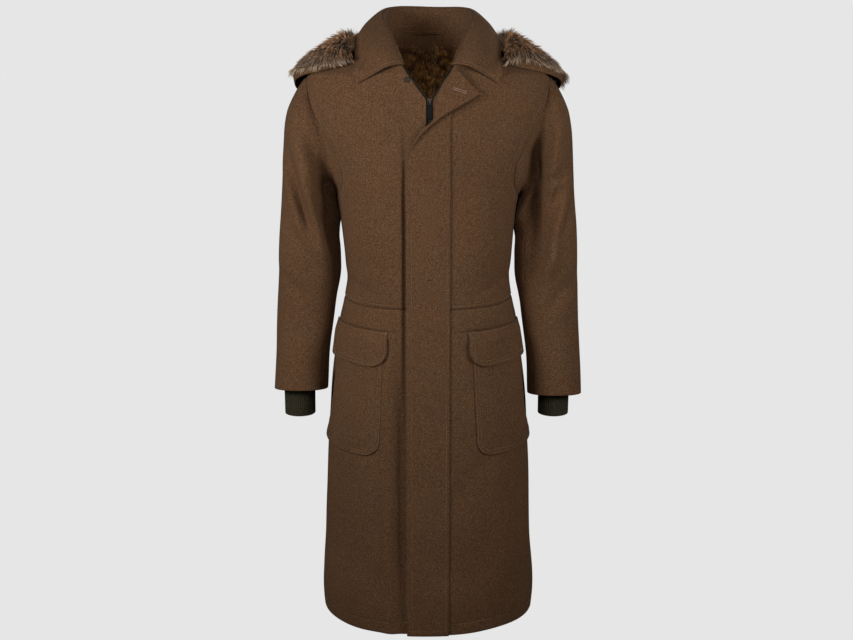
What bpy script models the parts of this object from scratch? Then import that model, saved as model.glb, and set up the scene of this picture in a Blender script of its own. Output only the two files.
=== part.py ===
"""A long hooded loden coat, filled out as if worn, with nobody in it.

Metres, +Z up. The front faces -Y and the origin is the middle of the neck opening, level with the side neck
points. Left and right in the names are the viewer's, so "left" is -X. Every panel is a wall made from a
surface with a formula: the outer points lie on it and the inner points lie one cloth thickness behind them.
"""

import math

import bpy
import numpy as np

# Driving dimensions
CLOTH = 0.003
FUR_LINING = 0.009
HOOD_FUR = 0.012
SEAM_GAP = 0.0003
LAY_GAP = 0.0007
WAIST = -0.487
HEM = -1.154
NECK_TOP = -0.001
BODY_ROUNDNESS = 2.3
SLEEVE_ROUNDNESS = 2.15
SIDE = math.pi / 2
SHARP_ANGLE = math.radians(40)
FRONT_UPPER_COLUMNS = 10
FRONT_SKIRT_COLUMNS = 14
BACK_COLUMNS = 17
BACK_SKIRT_COLUMNS = 21
POCKET_COLUMNS = 7
UPPER_ROWS = (-0.445, -0.400, -0.355, -0.315)
SKIRT_EVEN_ROWS = 8
SKIRT_EVEN_TOP = -0.560
SKIRT_HIGH_ROW = -0.520


def table(columns, *rows):
    """A small table as arrays by column name."""
    return dict(zip(columns.split(), np.array(rows, float).T))


# Plan sections of the body from hem to neck
BODY = table(
    "height half_width front_depth back_depth",
    (-1.175, 0.2185, 0.190, 0.175),
    (-1.115, 0.2220, 0.190, 0.176),
    (-0.980, 0.2130, 0.184, 0.170),
    (-0.800, 0.2070, 0.178, 0.165),
    (-0.660, 0.1970, 0.170, 0.160),
    (-0.550, 0.1820, 0.160, 0.150),
    (-0.487, 0.1690, 0.152, 0.133),
    (-0.450, 0.1650, 0.150, 0.130),
    (-0.360, 0.1710, 0.150, 0.136),
    (-0.285, 0.1810, 0.150, 0.145),
    (-0.200, 0.2070, 0.148, 0.145),
    (-0.140, 0.2320, 0.138, 0.135),
    (-0.100, 0.2395, 0.128, 0.125),
    (-0.046, 0.2340, 0.117, 0.102),
    (-0.030, 0.1840, 0.111, 0.094),
    (-0.010, 0.1150, 0.101, 0.081),
    (-0.001, 0.0830, 0.097, 0.074),
    (0.012, 0.0700, 0.092, 0.068),
)

# Main soft folds of the body: middle angle and height, half spans, and depth (minus is a trough)
BODY_FOLDS = table(
    "angle height angle_span height_span depth",
    (-21.0, -0.860, 10.0, 0.250, -0.0060),
    (-38.0, -0.900, 11.0, 0.260, 0.0030),
    (32.0, -0.980, 11.0, 0.200, -0.0040),
    (68.0, -1.000, 14.0, 0.200, 0.0060),
    (-68.0, -0.980, 14.0, 0.210, 0.0050),
    (118.0, -0.900, 16.0, 0.260, -0.0070),
    (150.0, -0.960, 14.0, 0.240, 0.0070),
    (205.0, -0.930, 15.0, 0.250, -0.0060),
    (238.0, -0.980, 15.0, 0.230, 0.0070),
    (70.0, -0.440, 22.0, 0.018, -0.0025),
    (-72.0, -0.448, 22.0, 0.020, -0.0030),
    (160.0, -0.400, 40.0, 0.030, -0.0035),
    (205.0, -0.430, 35.0, 0.030, 0.0030),
)

# Armhole depth to front and back at each height, shared by the body panels and the sleeves
ARMHOLE = table(
    "height front back",
    (-0.285, 0.000, 0.000),
    (-0.281, 0.032, 0.034),
    (-0.272, 0.058, 0.062),
    (-0.255, 0.080, 0.086),
    (-0.230, 0.090, 0.098),
    (-0.200, 0.090, 0.100),
    (-0.165, 0.081, 0.092),
    (-0.130, 0.066, 0.077),
    (-0.0885, 0.042, 0.050),
    (-0.066, 0.026, 0.030),
    (-0.046, 0.000, 0.000),
)

# Front edge of each front panel above the zip slider: half the opening, then the neckline
ZIP_MIDDLE = 0.003
ZIP_EDGE = 0.0065
SLIDER_HEIGHT = -0.0885
NECK_FRONT = -0.026
NECK_POINTS = 15
NECKLINE = table(
    "height half_opening",
    (-0.0885, 0.0065),
    (-0.062, 0.0250),
    (-0.040, 0.0400),
    (-0.026, 0.0490),
    (-0.018, 0.0600),
    (-0.010, 0.0700),
    (-0.004, 0.0770),
    (-0.001, 0.0810),
)

# Sleeve sections from the armhole to the hem: outer and inner silhouette points, front and back depth
SLEEVE = table(
    "outer_x outer_z inner_x inner_z front back",
    (0.2340, -0.046, 0.1810, -0.285, 0.090, 0.100),
    (0.2690, -0.095, 0.1838, -0.291, 0.092, 0.100),
    (0.2830, -0.155, 0.1836, -0.303, 0.091, 0.096),
    (0.2885, -0.235, 0.1806, -0.335, 0.086, 0.085),
    (0.2935, -0.310, 0.1765, -0.375, 0.083, 0.075),
    (0.2995, -0.400, 0.1752, -0.430, 0.080, 0.062),
    (0.3025, -0.475, 0.1830, -0.485, 0.078, 0.052),
    (0.3060, -0.550, 0.1935, -0.550, 0.075, 0.042),
    (0.3105, -0.620, 0.2015, -0.620, 0.075, 0.034),
    (0.3148, -0.686, 0.2055, -0.686, 0.075, 0.030),
)
SLEEVE_RINGS = 13
SLEEVE_DROP = {"left": 0.0055, "right": -0.005}
SLEEVE_CAP_SHARE = 0.16
SLEEVE_SETTLE_SHARE = 0.5
SLEEVE_CROWDING = 0.9
SLEEVE_FRONT_SEAM = 8
SLEEVE_BACK_SEAM = 14

# Folds of the sleeves: place along (0 armhole, 1 hem), angle round (0 outside, 90 front), spans, depth, lean
SLEEVE_FOLDS = table(
    "along angle along_span angle_span depth lean",
    (0.30, 120.0, 0.050, 60.0, -0.0060, 0.0012),
    (0.40, 150.0, 0.040, 55.0, -0.0045, 0.0010),
    (0.36, 70.0, 0.045, 50.0, -0.0035, 0.0010),
    (0.50, 110.0, 0.050, 60.0, 0.0035, -0.0008),
    (0.62, 250.0, 0.050, 60.0, -0.0050, -0.0010),
    (0.72, 290.0, 0.050, 60.0, 0.0035, 0.0010),
)

# Knit inner cuffs
CUFF_BOTTOM = -0.734
CUFF_HALF_WIDTH = 0.0300
CUFF_HALF_DEPTH = 0.0280
CUFF_RIBS = 22
RIB_HEIGHT = 0.0014
CUFF_WALL = 0.0022
CUFF_SHIFT = {"left": 0.0035, "right": -0.0020}
CUFF_CLEARANCE = 0.0016
CUFF = table(
    "level widening",
    (CUFF_BOTTOM, 0.00),
    (-0.688, 0.02),
    (-0.670, 0.35),
    (-0.650, 1.00),
)

# Collar from the middle of the back to the front end: share of the neck seam, fold line, belly and leaf edge
COLLAR = table(
    "share roll_x roll_y roll_z belly_x belly_y belly_z edge_x edge_y edge_z",
    (0.00, 0.0000, 0.086, 0.0770, 0.0000, 0.112, 0.0560, 0.0000, 0.126, 0.0140),
    (0.19, 0.0480, 0.077, 0.0775, 0.0640, 0.100, 0.0570, 0.0740, 0.112, 0.0170),
    (0.35, 0.0800, 0.045, 0.0740, 0.1060, 0.056, 0.0540, 0.1240, 0.066, 0.0200),
    (0.51, 0.0890, 0.004, 0.0640, 0.1180, 0.003, 0.0460, 0.1400, 0.002, 0.0160),
    (0.70, 0.0740, -0.046, 0.0320, 0.1050, -0.056, 0.0230, 0.1380, -0.058, -0.0150),
    (0.86, 0.0610, -0.082, 0.0040, 0.0920, -0.097, -0.0050, 0.1350, -0.088, -0.0430),
    (1.00, 0.0475, -0.1085, -0.0250, 0.0790, -0.120, -0.0300, 0.1315, -0.107, -0.0606),
)
COLLAR_STATIONS = 33
STAND_ROWS = 4
LEAF_ROWS = 6
FOLD_GAP = 0.008
LEAF_CLEARANCE = 0.0028

# Hanger loop on the inside of the collar stand
LOOP_THICKNESS = 0.0014
LOOP_ARCH = 0.002
LOOP_REACH = 0.13
LOOP_POINTS = 9
LOOP_EDGES = (0.66, 0.86)

# Hood thrown back, by plan angle: inner edge, crest and rim of the fur, then the foot of the cloth and how
# far the foot stands off the body
HOOD = table(
    "angle inner_r inner_z crest_r crest_z rim_r rim_z foot_z foot_off",
    (66.0, 0.160, -0.014, 0.166, -0.001, 0.179, -0.016, -0.027, 0.000),
    (73.0, 0.153, -0.010, 0.166, 0.016, 0.206, -0.022, -0.037, 0.000),
    (82.0, 0.147, -0.008, 0.164, 0.028, 0.240, -0.031, -0.050, 0.012),
    (92.0, 0.147, -0.006, 0.163, 0.032, 0.262, -0.036, -0.064, 0.022),
    (104.0, 0.146, -0.006, 0.163, 0.030, 0.262, -0.044, -0.090, 0.030),
    (118.0, 0.120, -0.010, 0.159, 0.024, 0.246, -0.050, -0.150, 0.012),
    (136.0, 0.115, -0.016, 0.157, 0.016, 0.220, -0.052, -0.235, 0.000),
    (156.0, 0.112, -0.020, 0.153, 0.008, 0.200, -0.052, -0.305, 0.000),
    (180.0, 0.110, -0.022, 0.151, 0.006, 0.192, -0.052, -0.330, 0.000),
)
# How the right half of the hood has slipped: rim further back at the front, lower and further out at the tip
HOOD_RIGHT = table(
    "angle rim_r rim_z",
    (66.0, 0.000, 0.004),
    (73.0, -0.018, 0.012),
    (82.0, -0.012, 0.006),
    (92.0, 0.004, -0.008),
    (104.0, 0.009, -0.020),
    (118.0, 0.004, -0.010),
    (136.0, 0.000, 0.000),
)
HOOD_FRONT = HOOD["angle"][0]
HOOD_STATIONS = 33
HOOD_BELLY = 0.024
HOOD_BELLY_PLACE = 0.55
HOOD_FULL_DROP = 0.25
HOOD_SHOULDER = (0.72, 0.56)
FUR_THIN = 0.3
FUR_END_ANGLE = 25.0
HOOD_CENTRE_STATIONS = 7
FUR_ROWS = 7
HOOD_ROWS = 7

# Storm flap, in its own flat sizes before its corner is turned back
FLAP_SEAM = 0.042
FLAP_TOP = -0.033
FLAP_SLANT = 0.27
FLAP_SLANT_START = -0.150
FLAP_EDGE = table(
    "height x",
    (-1.200, -0.0420),
    (-0.260, -0.0420),
    (-0.200, -0.0360),
    (-0.160, -0.0300),
    (-0.033, -0.0200),
)
# The free edge as it shows, from where it starts to turn up to the corner's tip
LAPEL = table(
    "x height",
    (-0.0350, -0.2012),
    (-0.0275, -0.1744),
    (-0.0125, -0.1531),
    (0.0120, -0.1310),
    (0.0393, -0.1127),
    (0.0748, -0.0922),
    (0.0946, -0.0794),
)
LAPEL_FOOT = -0.152
ROLL = table(
    "height x",
    (-1.2000, -0.4200),
    (-0.2600, -0.0600),
    (-0.1950, -0.0350),
    (-0.1684, -0.0206),
    (-0.1456, -0.0080),
    (-0.1340, 0.0085),
    (-0.1257, 0.0160),
    (-0.1100, 0.0170),
    (-0.0952, 0.0190),
    (-0.0647, 0.0316),
    (-0.0306, 0.0577),
    (0.0200, 0.0977),
)
ROLL_TILT = math.radians(30)
ROLL_RADIUS = 0.0050
FLAP_UPPER_ROWS = 33
TURN_MARGIN = 0.012
EDGE_MARGIN = 0.003
SEAM_MARGIN = 0.004

# Zip
TAPE_WIDTH = 0.015
TAPE_THICKNESS = 0.0012
TAPE_SHOW = 0.004
SLIDER_WIDTH = 0.0090
SLIDER_LENGTH = 0.0130
SLIDER_THICKNESS = 0.0022
SLIDER_BEVEL = 0.0006
SLIDER_DROP = 0.003
BRIDGE_HALF_WIDTH = 0.0014
BRIDGE_HALF_LENGTH = 0.0048
BRIDGE_RISE = 0.0044
BRIDGE_THICKNESS = 0.0012
BRIDGE_SLOPE = 0.0012
BRIDGE_SINK = 0.0005
PULL_BAR = 0.0007
PULL_ARM_OUT = 0.0036
PULL_WIDTH = 0.0085
PULL_LENGTH = 0.0330
PULL_THICKNESS = 0.0020
PULL_ARM_LENGTH = 0.0075
PULL_ARM_WIDTH = 0.0014
PULL_SHOULDER = 0.0012
PULL_END = 0.0020
PULL_END_INSET = 0.0015
PULL_PLAY = 0.0009
PULL_SLOT_CELL = (1, 1)

# Pockets; the patch's outer edge slants from its foot to its top
POCKET_TOP = -0.556
POCKET_BOTTOM = -0.780
POCKET_INNER_TOP = 0.086
POCKET_INNER_BOTTOM = 0.0975
POCKET_CORNER = 0.030
POCKET_OUTER_ANGLES = (86.0, 64.0)
POCKET_WALL = 0.0025
POCKET_LIFT = 0.0015
POCKET_GAP = 0.0012
FLAP_UPPER = -0.531
FLAP_LOWER = -0.604
FLAP_INNER = 0.078
FLAP_CORNER = 0.022
FLAP_OUTER_ANGLE = 84.0
FLAP_FALL = 1.25
POCKET_EVEN_ROWS = 8
FLAP_EVEN_ROWS = 5
CORNER_STEPS = np.array((0.0, 0.06, 0.2, 0.45, 1.0))

# Fur lining that shows in the open neck
LINING_LOWER = -0.290
LINING_UPPER = -0.003
LINING_MARGIN = 3

BUTTON_RADIUS = 0.0065
BUTTON_THICKNESS = 0.0024
BUTTON_PLACE = (-0.0390, -0.0520)
BUTTON_SIDES = 16
# Rings of the button from back to front: share of the radius, share of the thickness
BUTTON_RINGS = ((0.9, 0.0), (1.0, 0.3), (1.0, 0.7), (0.8, 1.0))

SIDES = {"left": -1.0, "right": 1.0}


def smooth(at, knots, values):
    """A value read from a table by a cubic that never overshoots its rows."""
    step = np.diff(knots)
    slope = np.diff(values) / step
    product = slope[:-1] * slope[1:]
    total = slope[:-1] + slope[1:]
    tangent = np.concatenate(([slope[0]], np.zeros(len(product)), [slope[-1]]))
    same_way = product > 0
    tangent[1:-1][same_way] = 2 * product[same_way] / total[same_way]
    at = np.clip(at, knots[0], knots[-1])
    row = np.clip(np.searchsorted(knots, at, side="right") - 1, 0, len(step) - 1)
    t = (at - knots[row]) / step[row]
    rise = values[row + 1] - values[row]
    start = tangent[row] * step[row]
    end = tangent[row + 1] * step[row]
    return values[row] + t * start + t**2 * (3 * rise - 2 * start - end) + t**3 * (start + end - 2 * rise)


def unit(vectors):
    return vectors / np.maximum(np.linalg.norm(vectors, axis=-1, keepdims=True), 1e-12)


def spread(start, end, count):
    """Rows of count values from each start to each end."""
    share = np.linspace(0, 1, count)
    return np.asarray(start)[:, None] * (1 - share) + np.asarray(end)[:, None] * share


def body_section(height):
    names = ("half_width", "front_depth", "back_depth")
    return [smooth(height, BODY["height"], BODY[name]) for name in names]


def body_fold(angle, height):
    """How far the cloth stands out of its plain section at a place."""
    total = np.zeros(np.shape(angle))
    for middle, level, angle_span, height_span, depth in zip(*BODY_FOLDS.values()):
        turn = (np.degrees(angle) - middle + 180) % 360 - 180
        rise = height - level
        total = total + depth * np.exp(-(turn / angle_span) ** 2 - (rise / height_span) ** 2)
    return total


def body_surface(angle, height):
    """Outer point of the body: angle 0 is the front, SIDE is +X and two of them the back."""
    angle, height = np.broadcast_arrays(np.asarray(angle, float), np.asarray(height, float))
    half_width, front, back = body_section(height)
    across, along = np.sin(angle), np.cos(angle)
    depth = np.where(along > 0, front, back)
    reach = (np.abs(across) ** BODY_ROUNDNESS + np.abs(along) ** BODY_ROUNDNESS) ** (-1 / BODY_ROUNDNESS)
    reach = reach * (1 + body_fold(angle, height) / half_width)
    return np.stack((half_width * reach * across, -depth * reach * along, height), -1)


def body_normal(angle, height):
    step = 5e-4
    round_way = body_surface(angle + step, height) - body_surface(angle - step, height)
    up_way = body_surface(angle, height + step) - body_surface(angle, height - step)
    return unit(np.cross(round_way, up_way))


def off_body(angle, height, distance):
    """Body points moved out along the normal."""
    return body_surface(angle, height) + body_normal(angle, height) * np.asarray(distance)[..., None]


def front_angle(x, height):
    """The angle at which the body's front has a given x."""
    half_width = smooth(height, BODY["height"], BODY["half_width"])
    across = np.clip(x / half_width, -0.9999, 0.9999)
    along = (1 - np.abs(across) ** BODY_ROUNDNESS) ** (1 / BODY_ROUNDNESS)
    return np.arctan2(across, along)


def depth_angle(depth, height, back):
    """The +X side angle at which the body lies a given depth in front of or behind the middle."""
    _, front_depth, back_depth = body_section(height)
    along = np.clip(depth / (back_depth if back else front_depth), 0, 0.9999)
    across = (1 - along**BODY_ROUNDNESS) ** (1 / BODY_ROUNDNESS)
    return np.arctan2(across, -along if back else along)


def clear_of_body(points, clearance):
    """Points that lie too close to the body, moved out until they clear it."""
    def outside(at):
        half_width, front, back = body_section(at[..., 2])
        depth = np.where(at[..., 1] < 0, front, back)
        wide = np.abs(at[..., 0] / half_width) ** BODY_ROUNDNESS
        deep = np.abs(at[..., 1] / depth) ** BODY_ROUNDNESS
        return (wide + deep) ** (1 / BODY_ROUNDNESS) - 1

    step = 1e-4
    for _ in range(4):
        level = outside(points)
        slope = np.stack([(outside(points + step * axis) - level) / step for axis in np.eye(3)], -1)
        size = np.linalg.norm(slope, axis=-1)
        lack = np.clip(clearance - level / size, 0, 0.02)
        points = points + slope / size[..., None] * lack[..., None]
    return points


def cloth_material(name, colour, roughness, metallic=0.0):
    material = bpy.data.materials.new(name)
    material.use_nodes = True
    shader = material.node_tree.nodes["Principled BSDF"]
    shader.inputs["Base Color"].default_value = (*colour, 1.0)
    shader.inputs["Roughness"].default_value = roughness
    shader.inputs["Metallic"].default_value = metallic
    return material


def make_object(name, points, faces, material, origin=(0.0, 0.0, 0.0)):
    """A named object with one closed mesh, its faces turned outwards."""
    points = np.asarray(points, float) - np.asarray(origin)
    volume = 0.0
    for face in faces:
        corners = points[list(face)]
        for index in range(1, len(face) - 1):
            volume += np.dot(corners[0], np.cross(corners[index], corners[index + 1]))
    if volume < 0:
        faces = [tuple(reversed(face)) for face in faces]
    mesh = bpy.data.meshes.new(name)
    mesh.from_pydata(points.tolist(), [], faces)
    mesh.materials.append(material)
    mesh.shade_smooth()
    mesh.set_sharp_from_angle(angle=SHARP_ANGLE)
    piece = bpy.data.objects.new(name, mesh)
    piece.location = origin
    bpy.context.collection.objects.link(piece)
    return piece


def wall(name, outer, inner, material, ring=False):
    """A closed wall between two grids of points; a ring joins its last column to its first."""
    rows, columns = outer.shape[:2]
    count = rows * columns
    last = columns if ring else columns - 1
    faces = []
    for row in range(rows - 1):
        for column in range(last):
            here = row * columns + column
            beside = row * columns + (column + 1) % columns
            for corners in ((here, beside, beside + columns), (here, beside + columns, here + columns)):
                faces.append(corners)
                faces.append(tuple(count + corner for corner in reversed(corners)))
    for column in range(last):
        beside = (column + 1) % columns
        top = (rows - 1) * columns
        faces.append((beside, column, count + column, count + beside))
        faces.append((top + column, top + beside, count + top + beside, count + top + column))
    if not ring:
        for row in range(rows - 1):
            left = row * columns
            right = left + columns - 1
            faces.append((left, left + columns, count + left + columns, count + left))
            faces.append((right + columns, right, count + right, count + right + columns))
    points = np.concatenate((outer.reshape(-1, 3), inner.reshape(-1, 3)))
    return make_object(name, points, faces, material)


def mirrored(points, side):
    return points * np.array((side, 1.0, 1.0))


def seam_angle(height):
    """Half a seam's gap as an angle at the side of the body."""
    half_width = smooth(height, BODY["height"], BODY["half_width"])
    return SEAM_GAP / 2 / half_width


def sleeve_frame(share, drop):
    """Middle, half width vector and depths of the +X sleeve's section at a share of its length."""
    rows = np.linspace(0, 1, len(SLEEVE["front"]))
    read = {name: smooth(share, rows, values) for name, values in SLEEVE.items()}
    fall = drop * np.asarray(share) ** 2
    outer = np.stack((read["outer_x"], np.zeros_like(share), read["outer_z"] + fall), -1)
    inner = np.stack((read["inner_x"], np.zeros_like(share), read["inner_z"] + fall), -1)
    middle = (outer + inner) / 2
    middle[..., 1] = (read["back"] - read["front"]) / 2
    return middle, (outer - inner) / 2, (read["back"] + read["front"]) / 2


def armhole_ring():
    """The +X armhole from the shoulder tip down the front, and up the back: points and body normals."""
    heights = ARMHOLE["height"][::-1]
    front = depth_angle(ARMHOLE["front"][::-1], heights, back=False)
    back = depth_angle(ARMHOLE["back"], ARMHOLE["height"], back=True)
    angles = np.concatenate((front, back[1:-1]))
    levels = np.concatenate((heights, ARMHOLE["height"][1:-1]))
    return body_surface(angles, levels), body_normal(angles, levels)


def armhole_seam():
    """Points, mitre normals and sleeve-section angles of the armhole seam, shared by body and sleeve."""
    points, normals = armhole_ring()
    middle, half, depth = sleeve_frame(np.zeros(1), 0.0)
    from_middle = points - middle[0]
    along = from_middle @ unit(half[0]) / np.linalg.norm(half[0])
    across = -from_middle[:, 1] / depth[0]
    angles = np.unwrap(np.arctan2(across, along))
    angles = angles - angles[0]
    radial = np.cos(angles)[:, None] * unit(half[0]) - np.sin(angles)[:, None] * np.array((0.0, 1.0, 0.0))
    return points, unit(normals + radial), angles


def sleeve_fold(share, angle):
    total = np.zeros(np.broadcast(share, angle).shape)
    for along, middle, along_span, angle_span, depth, lean in zip(*SLEEVE_FOLDS.values()):
        turn = (np.degrees(angle) - middle + 180) % 360 - 180
        slide = share - along - lean * turn
        total = total + depth * np.exp(-(slide / along_span) ** 2 - (turn / angle_span) ** 2)
    return total


def sleeve_surface(share, angle, drop, inset):
    """Points of the plain +X sleeve tube, set in by a distance."""
    middle, half, depth = sleeve_frame(share, drop)
    along, across = np.cos(angle), np.sin(angle)
    total = np.abs(along) ** SLEEVE_ROUNDNESS + np.abs(across) ** SLEEVE_ROUNDNESS
    reach = total ** (-1 / SLEEVE_ROUNDNESS)
    length = np.linalg.norm(half, axis=-1)
    size = sleeve_fold(share, angle) - inset
    wide = (length + size) * reach * along
    deep = (depth + size) * reach * across
    return middle + unit(half) * wide[..., None] - np.array((0.0, 1.0, 0.0)) * deep[..., None]


def sleeve_walls(drop):
    """Outer and inner grids of the whole +X sleeve; the first ring is the armhole seam."""
    seam, mitre, angles = armhole_seam()
    share = np.linspace(0, 1, SLEEVE_RINGS)[:, None] ** SLEEVE_CROWDING
    blend = np.clip(share / SLEEVE_CAP_SHARE, 0, 1)
    blend = (blend * blend * (3 - 2 * blend))[..., None]
    around = np.roll(seam, -1, axis=0) - np.roll(seam, 1, axis=0)
    away = unit(np.cross(mitre, around))
    away = away * np.sign(away @ np.array((1.0, 0.0, -0.3)))[:, None]
    first_outer = seam + away * SEAM_GAP
    first_inner = first_outer - mitre * CLOTH
    even = np.linspace(0, 2 * math.pi, len(angles), endpoint=False)
    settle = np.clip(share / SLEEVE_SETTLE_SHARE, 0, 1)
    grid_angle = angles + (even - angles) * settle
    grid_share = np.broadcast_to(share, grid_angle.shape)
    walls = []
    for first, inset in ((first_outer, 0.0), (first_inner, CLOTH)):
        tube = sleeve_surface(grid_share, grid_angle, drop, inset)
        walls.append(first[None] * (1 - blend) + tube * blend)
    return walls


def make_sleeves(loden):
    """Two-piece sleeves: the upper piece covers the outside, the under piece the side next to the body."""
    columns = 2 * len(ARMHOLE["height"]) - 2
    for name, side in SIDES.items():
        outer, inner = sleeve_walls(SLEEVE_DROP[name])
        top = np.arange(SLEEVE_BACK_SEAM, SLEEVE_FRONT_SEAM + columns + 1) % columns
        under = np.arange(SLEEVE_FRONT_SEAM, SLEEVE_BACK_SEAM + 1)
        for piece, picked in (("sleeve_top", top), ("sleeve_under", under)):
            grids = [mirrored(part_seam(grid[:, picked]), side) for grid in (outer, inner)]
            wall(f"{piece}_{name}", *grids, loden)


def part_seam(grid, edges=(0, -1), rows=False):
    """Draws edge columns, or edge rows, of a grid in by a seam gap."""
    grid = grid.copy() if rows else grid.transpose(1, 0, 2).copy()
    for edge in edges:
        inside = 1 if edge == 0 else -2
        gap = LAY_GAP if rows else SEAM_GAP
        grid[edge] = grid[edge] + unit(grid[inside] - grid[edge]) * gap
    return grid if rows else grid.transpose(1, 0, 2)


def make_cuffs(knit):
    """Knit cuffs with raised ribs, widening upwards to the inside of the sleeve that carries them."""
    columns = CUFF_RIBS * 2
    angle = np.linspace(0, 2 * math.pi, columns, endpoint=False)
    rib = np.where(np.arange(columns) % 2 == 0, 0.0, RIB_HEIGHT)
    rows = np.linspace(0, 1, len(SLEEVE["outer_z"]))
    for name, side in SIDES.items():
        outer, inner = [], []
        for level, widening in zip(*CUFF.values()):
            share = np.full(columns, np.interp(-level, -SLEEVE["outer_z"], rows))
            fitted = sleeve_surface(share, angle, 0.0, CLOTH + CUFF_CLEARANCE)
            middle, _, _ = sleeve_frame(np.ones(1), 0.0)
            centre = middle[0] + np.array((CUFF_SHIFT[name] * (1 - widening), 0.0, 0.0))
            for ring, thickness, raised in ((outer, 0.0, rib), (inner, CUFF_WALL, 0.0)):
                wide = CUFF_HALF_WIDTH - thickness + raised
                deep = CUFF_HALF_DEPTH - thickness + raised
                knit_ring = centre + np.stack((wide * np.cos(angle), -deep * np.sin(angle), 0 * angle), -1)
                towards = unit(fitted - centre) * thickness
                ring_points = knit_ring * (1 - widening) + (fitted - towards) * widening
                ring_points[:, 2] = level
                ring.append(ring_points)
        grids = [mirrored(np.array(grid), side) for grid in (outer, inner)]
        wall(f"cuff_rib_{name}", *grids, knit, ring=True)


def panel_rows():
    """Heights of the rows of the upper panels, from the waist to the neck."""
    side = np.array((WAIST + SEAM_GAP / 2, *UPPER_ROWS))
    neck = NECKLINE["height"][NECKLINE["height"] >= NECK_FRONT]
    return np.concatenate((side, ARMHOLE["height"], neck))


def skirt_rows():
    """Heights of the rows of the skirt panels, from the hem to the waist."""
    even = np.linspace(HEM, SKIRT_EVEN_TOP, SKIRT_EVEN_ROWS)
    return np.concatenate((even, (SKIRT_HIGH_ROW, WAIST - SEAM_GAP / 2)))


def front_edge(height, side):
    """x of a front panel's own edge: beside the zip, then along the open neck."""
    opening = smooth(height, NECKLINE["height"], NECKLINE["half_opening"])
    opening = np.where(height < SLIDER_HEIGHT, ZIP_EDGE, opening)
    shift = ZIP_MIDDLE * np.clip((NECK_FRONT - height) / (NECK_FRONT - SLIDER_HEIGHT), 0, 1)
    return shift + side * opening


def outer_edge(height, back):
    """Angle of the +X panel edge at each height: side seam, armhole, then shoulder seam."""
    turn = 1.0 if back else -1.0
    edge = SIDE + turn * seam_angle(height)
    depth = ARMHOLE["back"] if back else ARMHOLE["front"]
    for level, reach in zip(ARMHOLE["height"][1:-1], depth[1:-1]):
        edge = np.where(np.isclose(height, level), depth_angle(reach, height, back), edge)
    return edge


def seat_armhole(outer, inner, heights, column, side, back):
    """Puts the armhole rows of a panel's edge column on the mitred seam that the sleeve shares."""
    points, mitre, _ = armhole_seam()
    rows = len(ARMHOLE["height"])
    parting = np.array((0.0, SEAM_GAP / 2 if back else -SEAM_GAP / 2, 0.0))
    for index, level in enumerate(ARMHOLE["height"]):
        row = int(np.argmin(np.abs(heights - level)))
        place = (rows - 1 + index) % (2 * rows - 2) if back else rows - 1 - index
        at_end = index in (0, rows - 1)
        point = points[place] + (parting if at_end else 0.0)
        outer[row, column] = mirrored(point, side)
        inner[row, column] = mirrored(point - mitre[place] * CLOTH, side)


def make_body(loden):
    """The six body panels."""
    upper, skirt = panel_rows(), skirt_rows()
    for name, side in SIDES.items():
        for piece, heights, columns in (("front_upper", upper, FRONT_UPPER_COLUMNS),
                                        ("front_skirt", skirt, FRONT_SKIRT_COLUMNS)):
            start = front_angle(front_edge(heights, side), heights)
            angles = spread(start, side * outer_edge(heights, back=False), columns)
            levels = np.broadcast_to(heights[:, None], angles.shape)
            outer = off_body(angles, levels, np.zeros(angles.shape))
            inner = off_body(angles, levels, np.full(angles.shape, -CLOTH))
            if piece == "front_upper":
                seat_armhole(outer, inner, heights, -1, side, back=False)
            wall(f"{piece}_{name}", outer, inner, loden)
    for piece, heights, columns in (("back_upper", upper, BACK_COLUMNS),
                                    ("back_skirt", skirt, BACK_SKIRT_COLUMNS)):
        start = outer_edge(heights, back=True)
        angles = spread(start, 4 * SIDE - start, columns)
        levels = np.broadcast_to(heights[:, None], angles.shape)
        outer = off_body(angles, levels, np.zeros(angles.shape))
        inner = off_body(angles, levels, np.full(angles.shape, -CLOTH))
        if piece == "back_upper":
            seat_armhole(outer, inner, heights, 0, 1.0, back=True)
            seat_armhole(outer, inner, heights, -1, -1.0, back=True)
        wall(piece, outer, inner, loden)


def through(points, at):
    """A smooth curve through a short list of points, read at place 0 to the last index."""
    padded = np.concatenate((2 * points[:1] - points[1:2], points, 2 * points[-1:] - points[-2:-1]))
    at = np.clip(at, 0, len(points) - 1)
    index = np.minimum(at.astype(int), len(points) - 2)
    t = (at - index).reshape(at.shape + (1,) * (points.ndim - 1))
    before, here, after, beyond = (padded[index + step] for step in range(4))
    return 0.5 * (2 * here + (after - before) * t + (2 * before - 5 * here + 4 * after - beyond) * t**2
                  + (3 * here - before - 3 * after + beyond) * t**3)


def neck_seam(share):
    """The +X half of the neck seam, from the middle of the back (0) to the front end (1)."""
    ring = np.linspace(2 * SIDE, SIDE, NECK_POINTS)
    heights = NECKLINE["height"][NECKLINE["height"] >= NECK_FRONT][::-1]
    front = front_angle(front_edge(heights, 1.0), heights)
    line = np.concatenate((body_surface(ring, NECK_TOP), body_surface(front, heights)))
    length = np.concatenate(([0.0], np.cumsum(np.linalg.norm(np.diff(line, axis=0), axis=1))))
    return np.stack([smooth(share * length[-1], length, line[:, axis]) for axis in range(3)], -1)


def collar_path(share, place):
    """Underside of the collar: place 0 is the neck seam, 2 the fold and 4 the leaf's edge."""
    half = np.abs(share)
    base = neck_seam(half) + np.array((0.0, 0.0, LAY_GAP))
    line = {part: np.stack([smooth(half, COLLAR["share"], COLLAR[f"{part}_{axis}"]) for axis in "xyz"], -1)
            for part in ("roll", "belly", "edge")}
    stand = (base + line["roll"]) / 2
    section = np.stack((base, stand, line["roll"], line["belly"], line["edge"]))
    turn = np.stack((np.where(share < 0, -1.0, 1.0), np.ones_like(share), np.ones_like(share)), -1)
    return through(section, place) * turn


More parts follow.
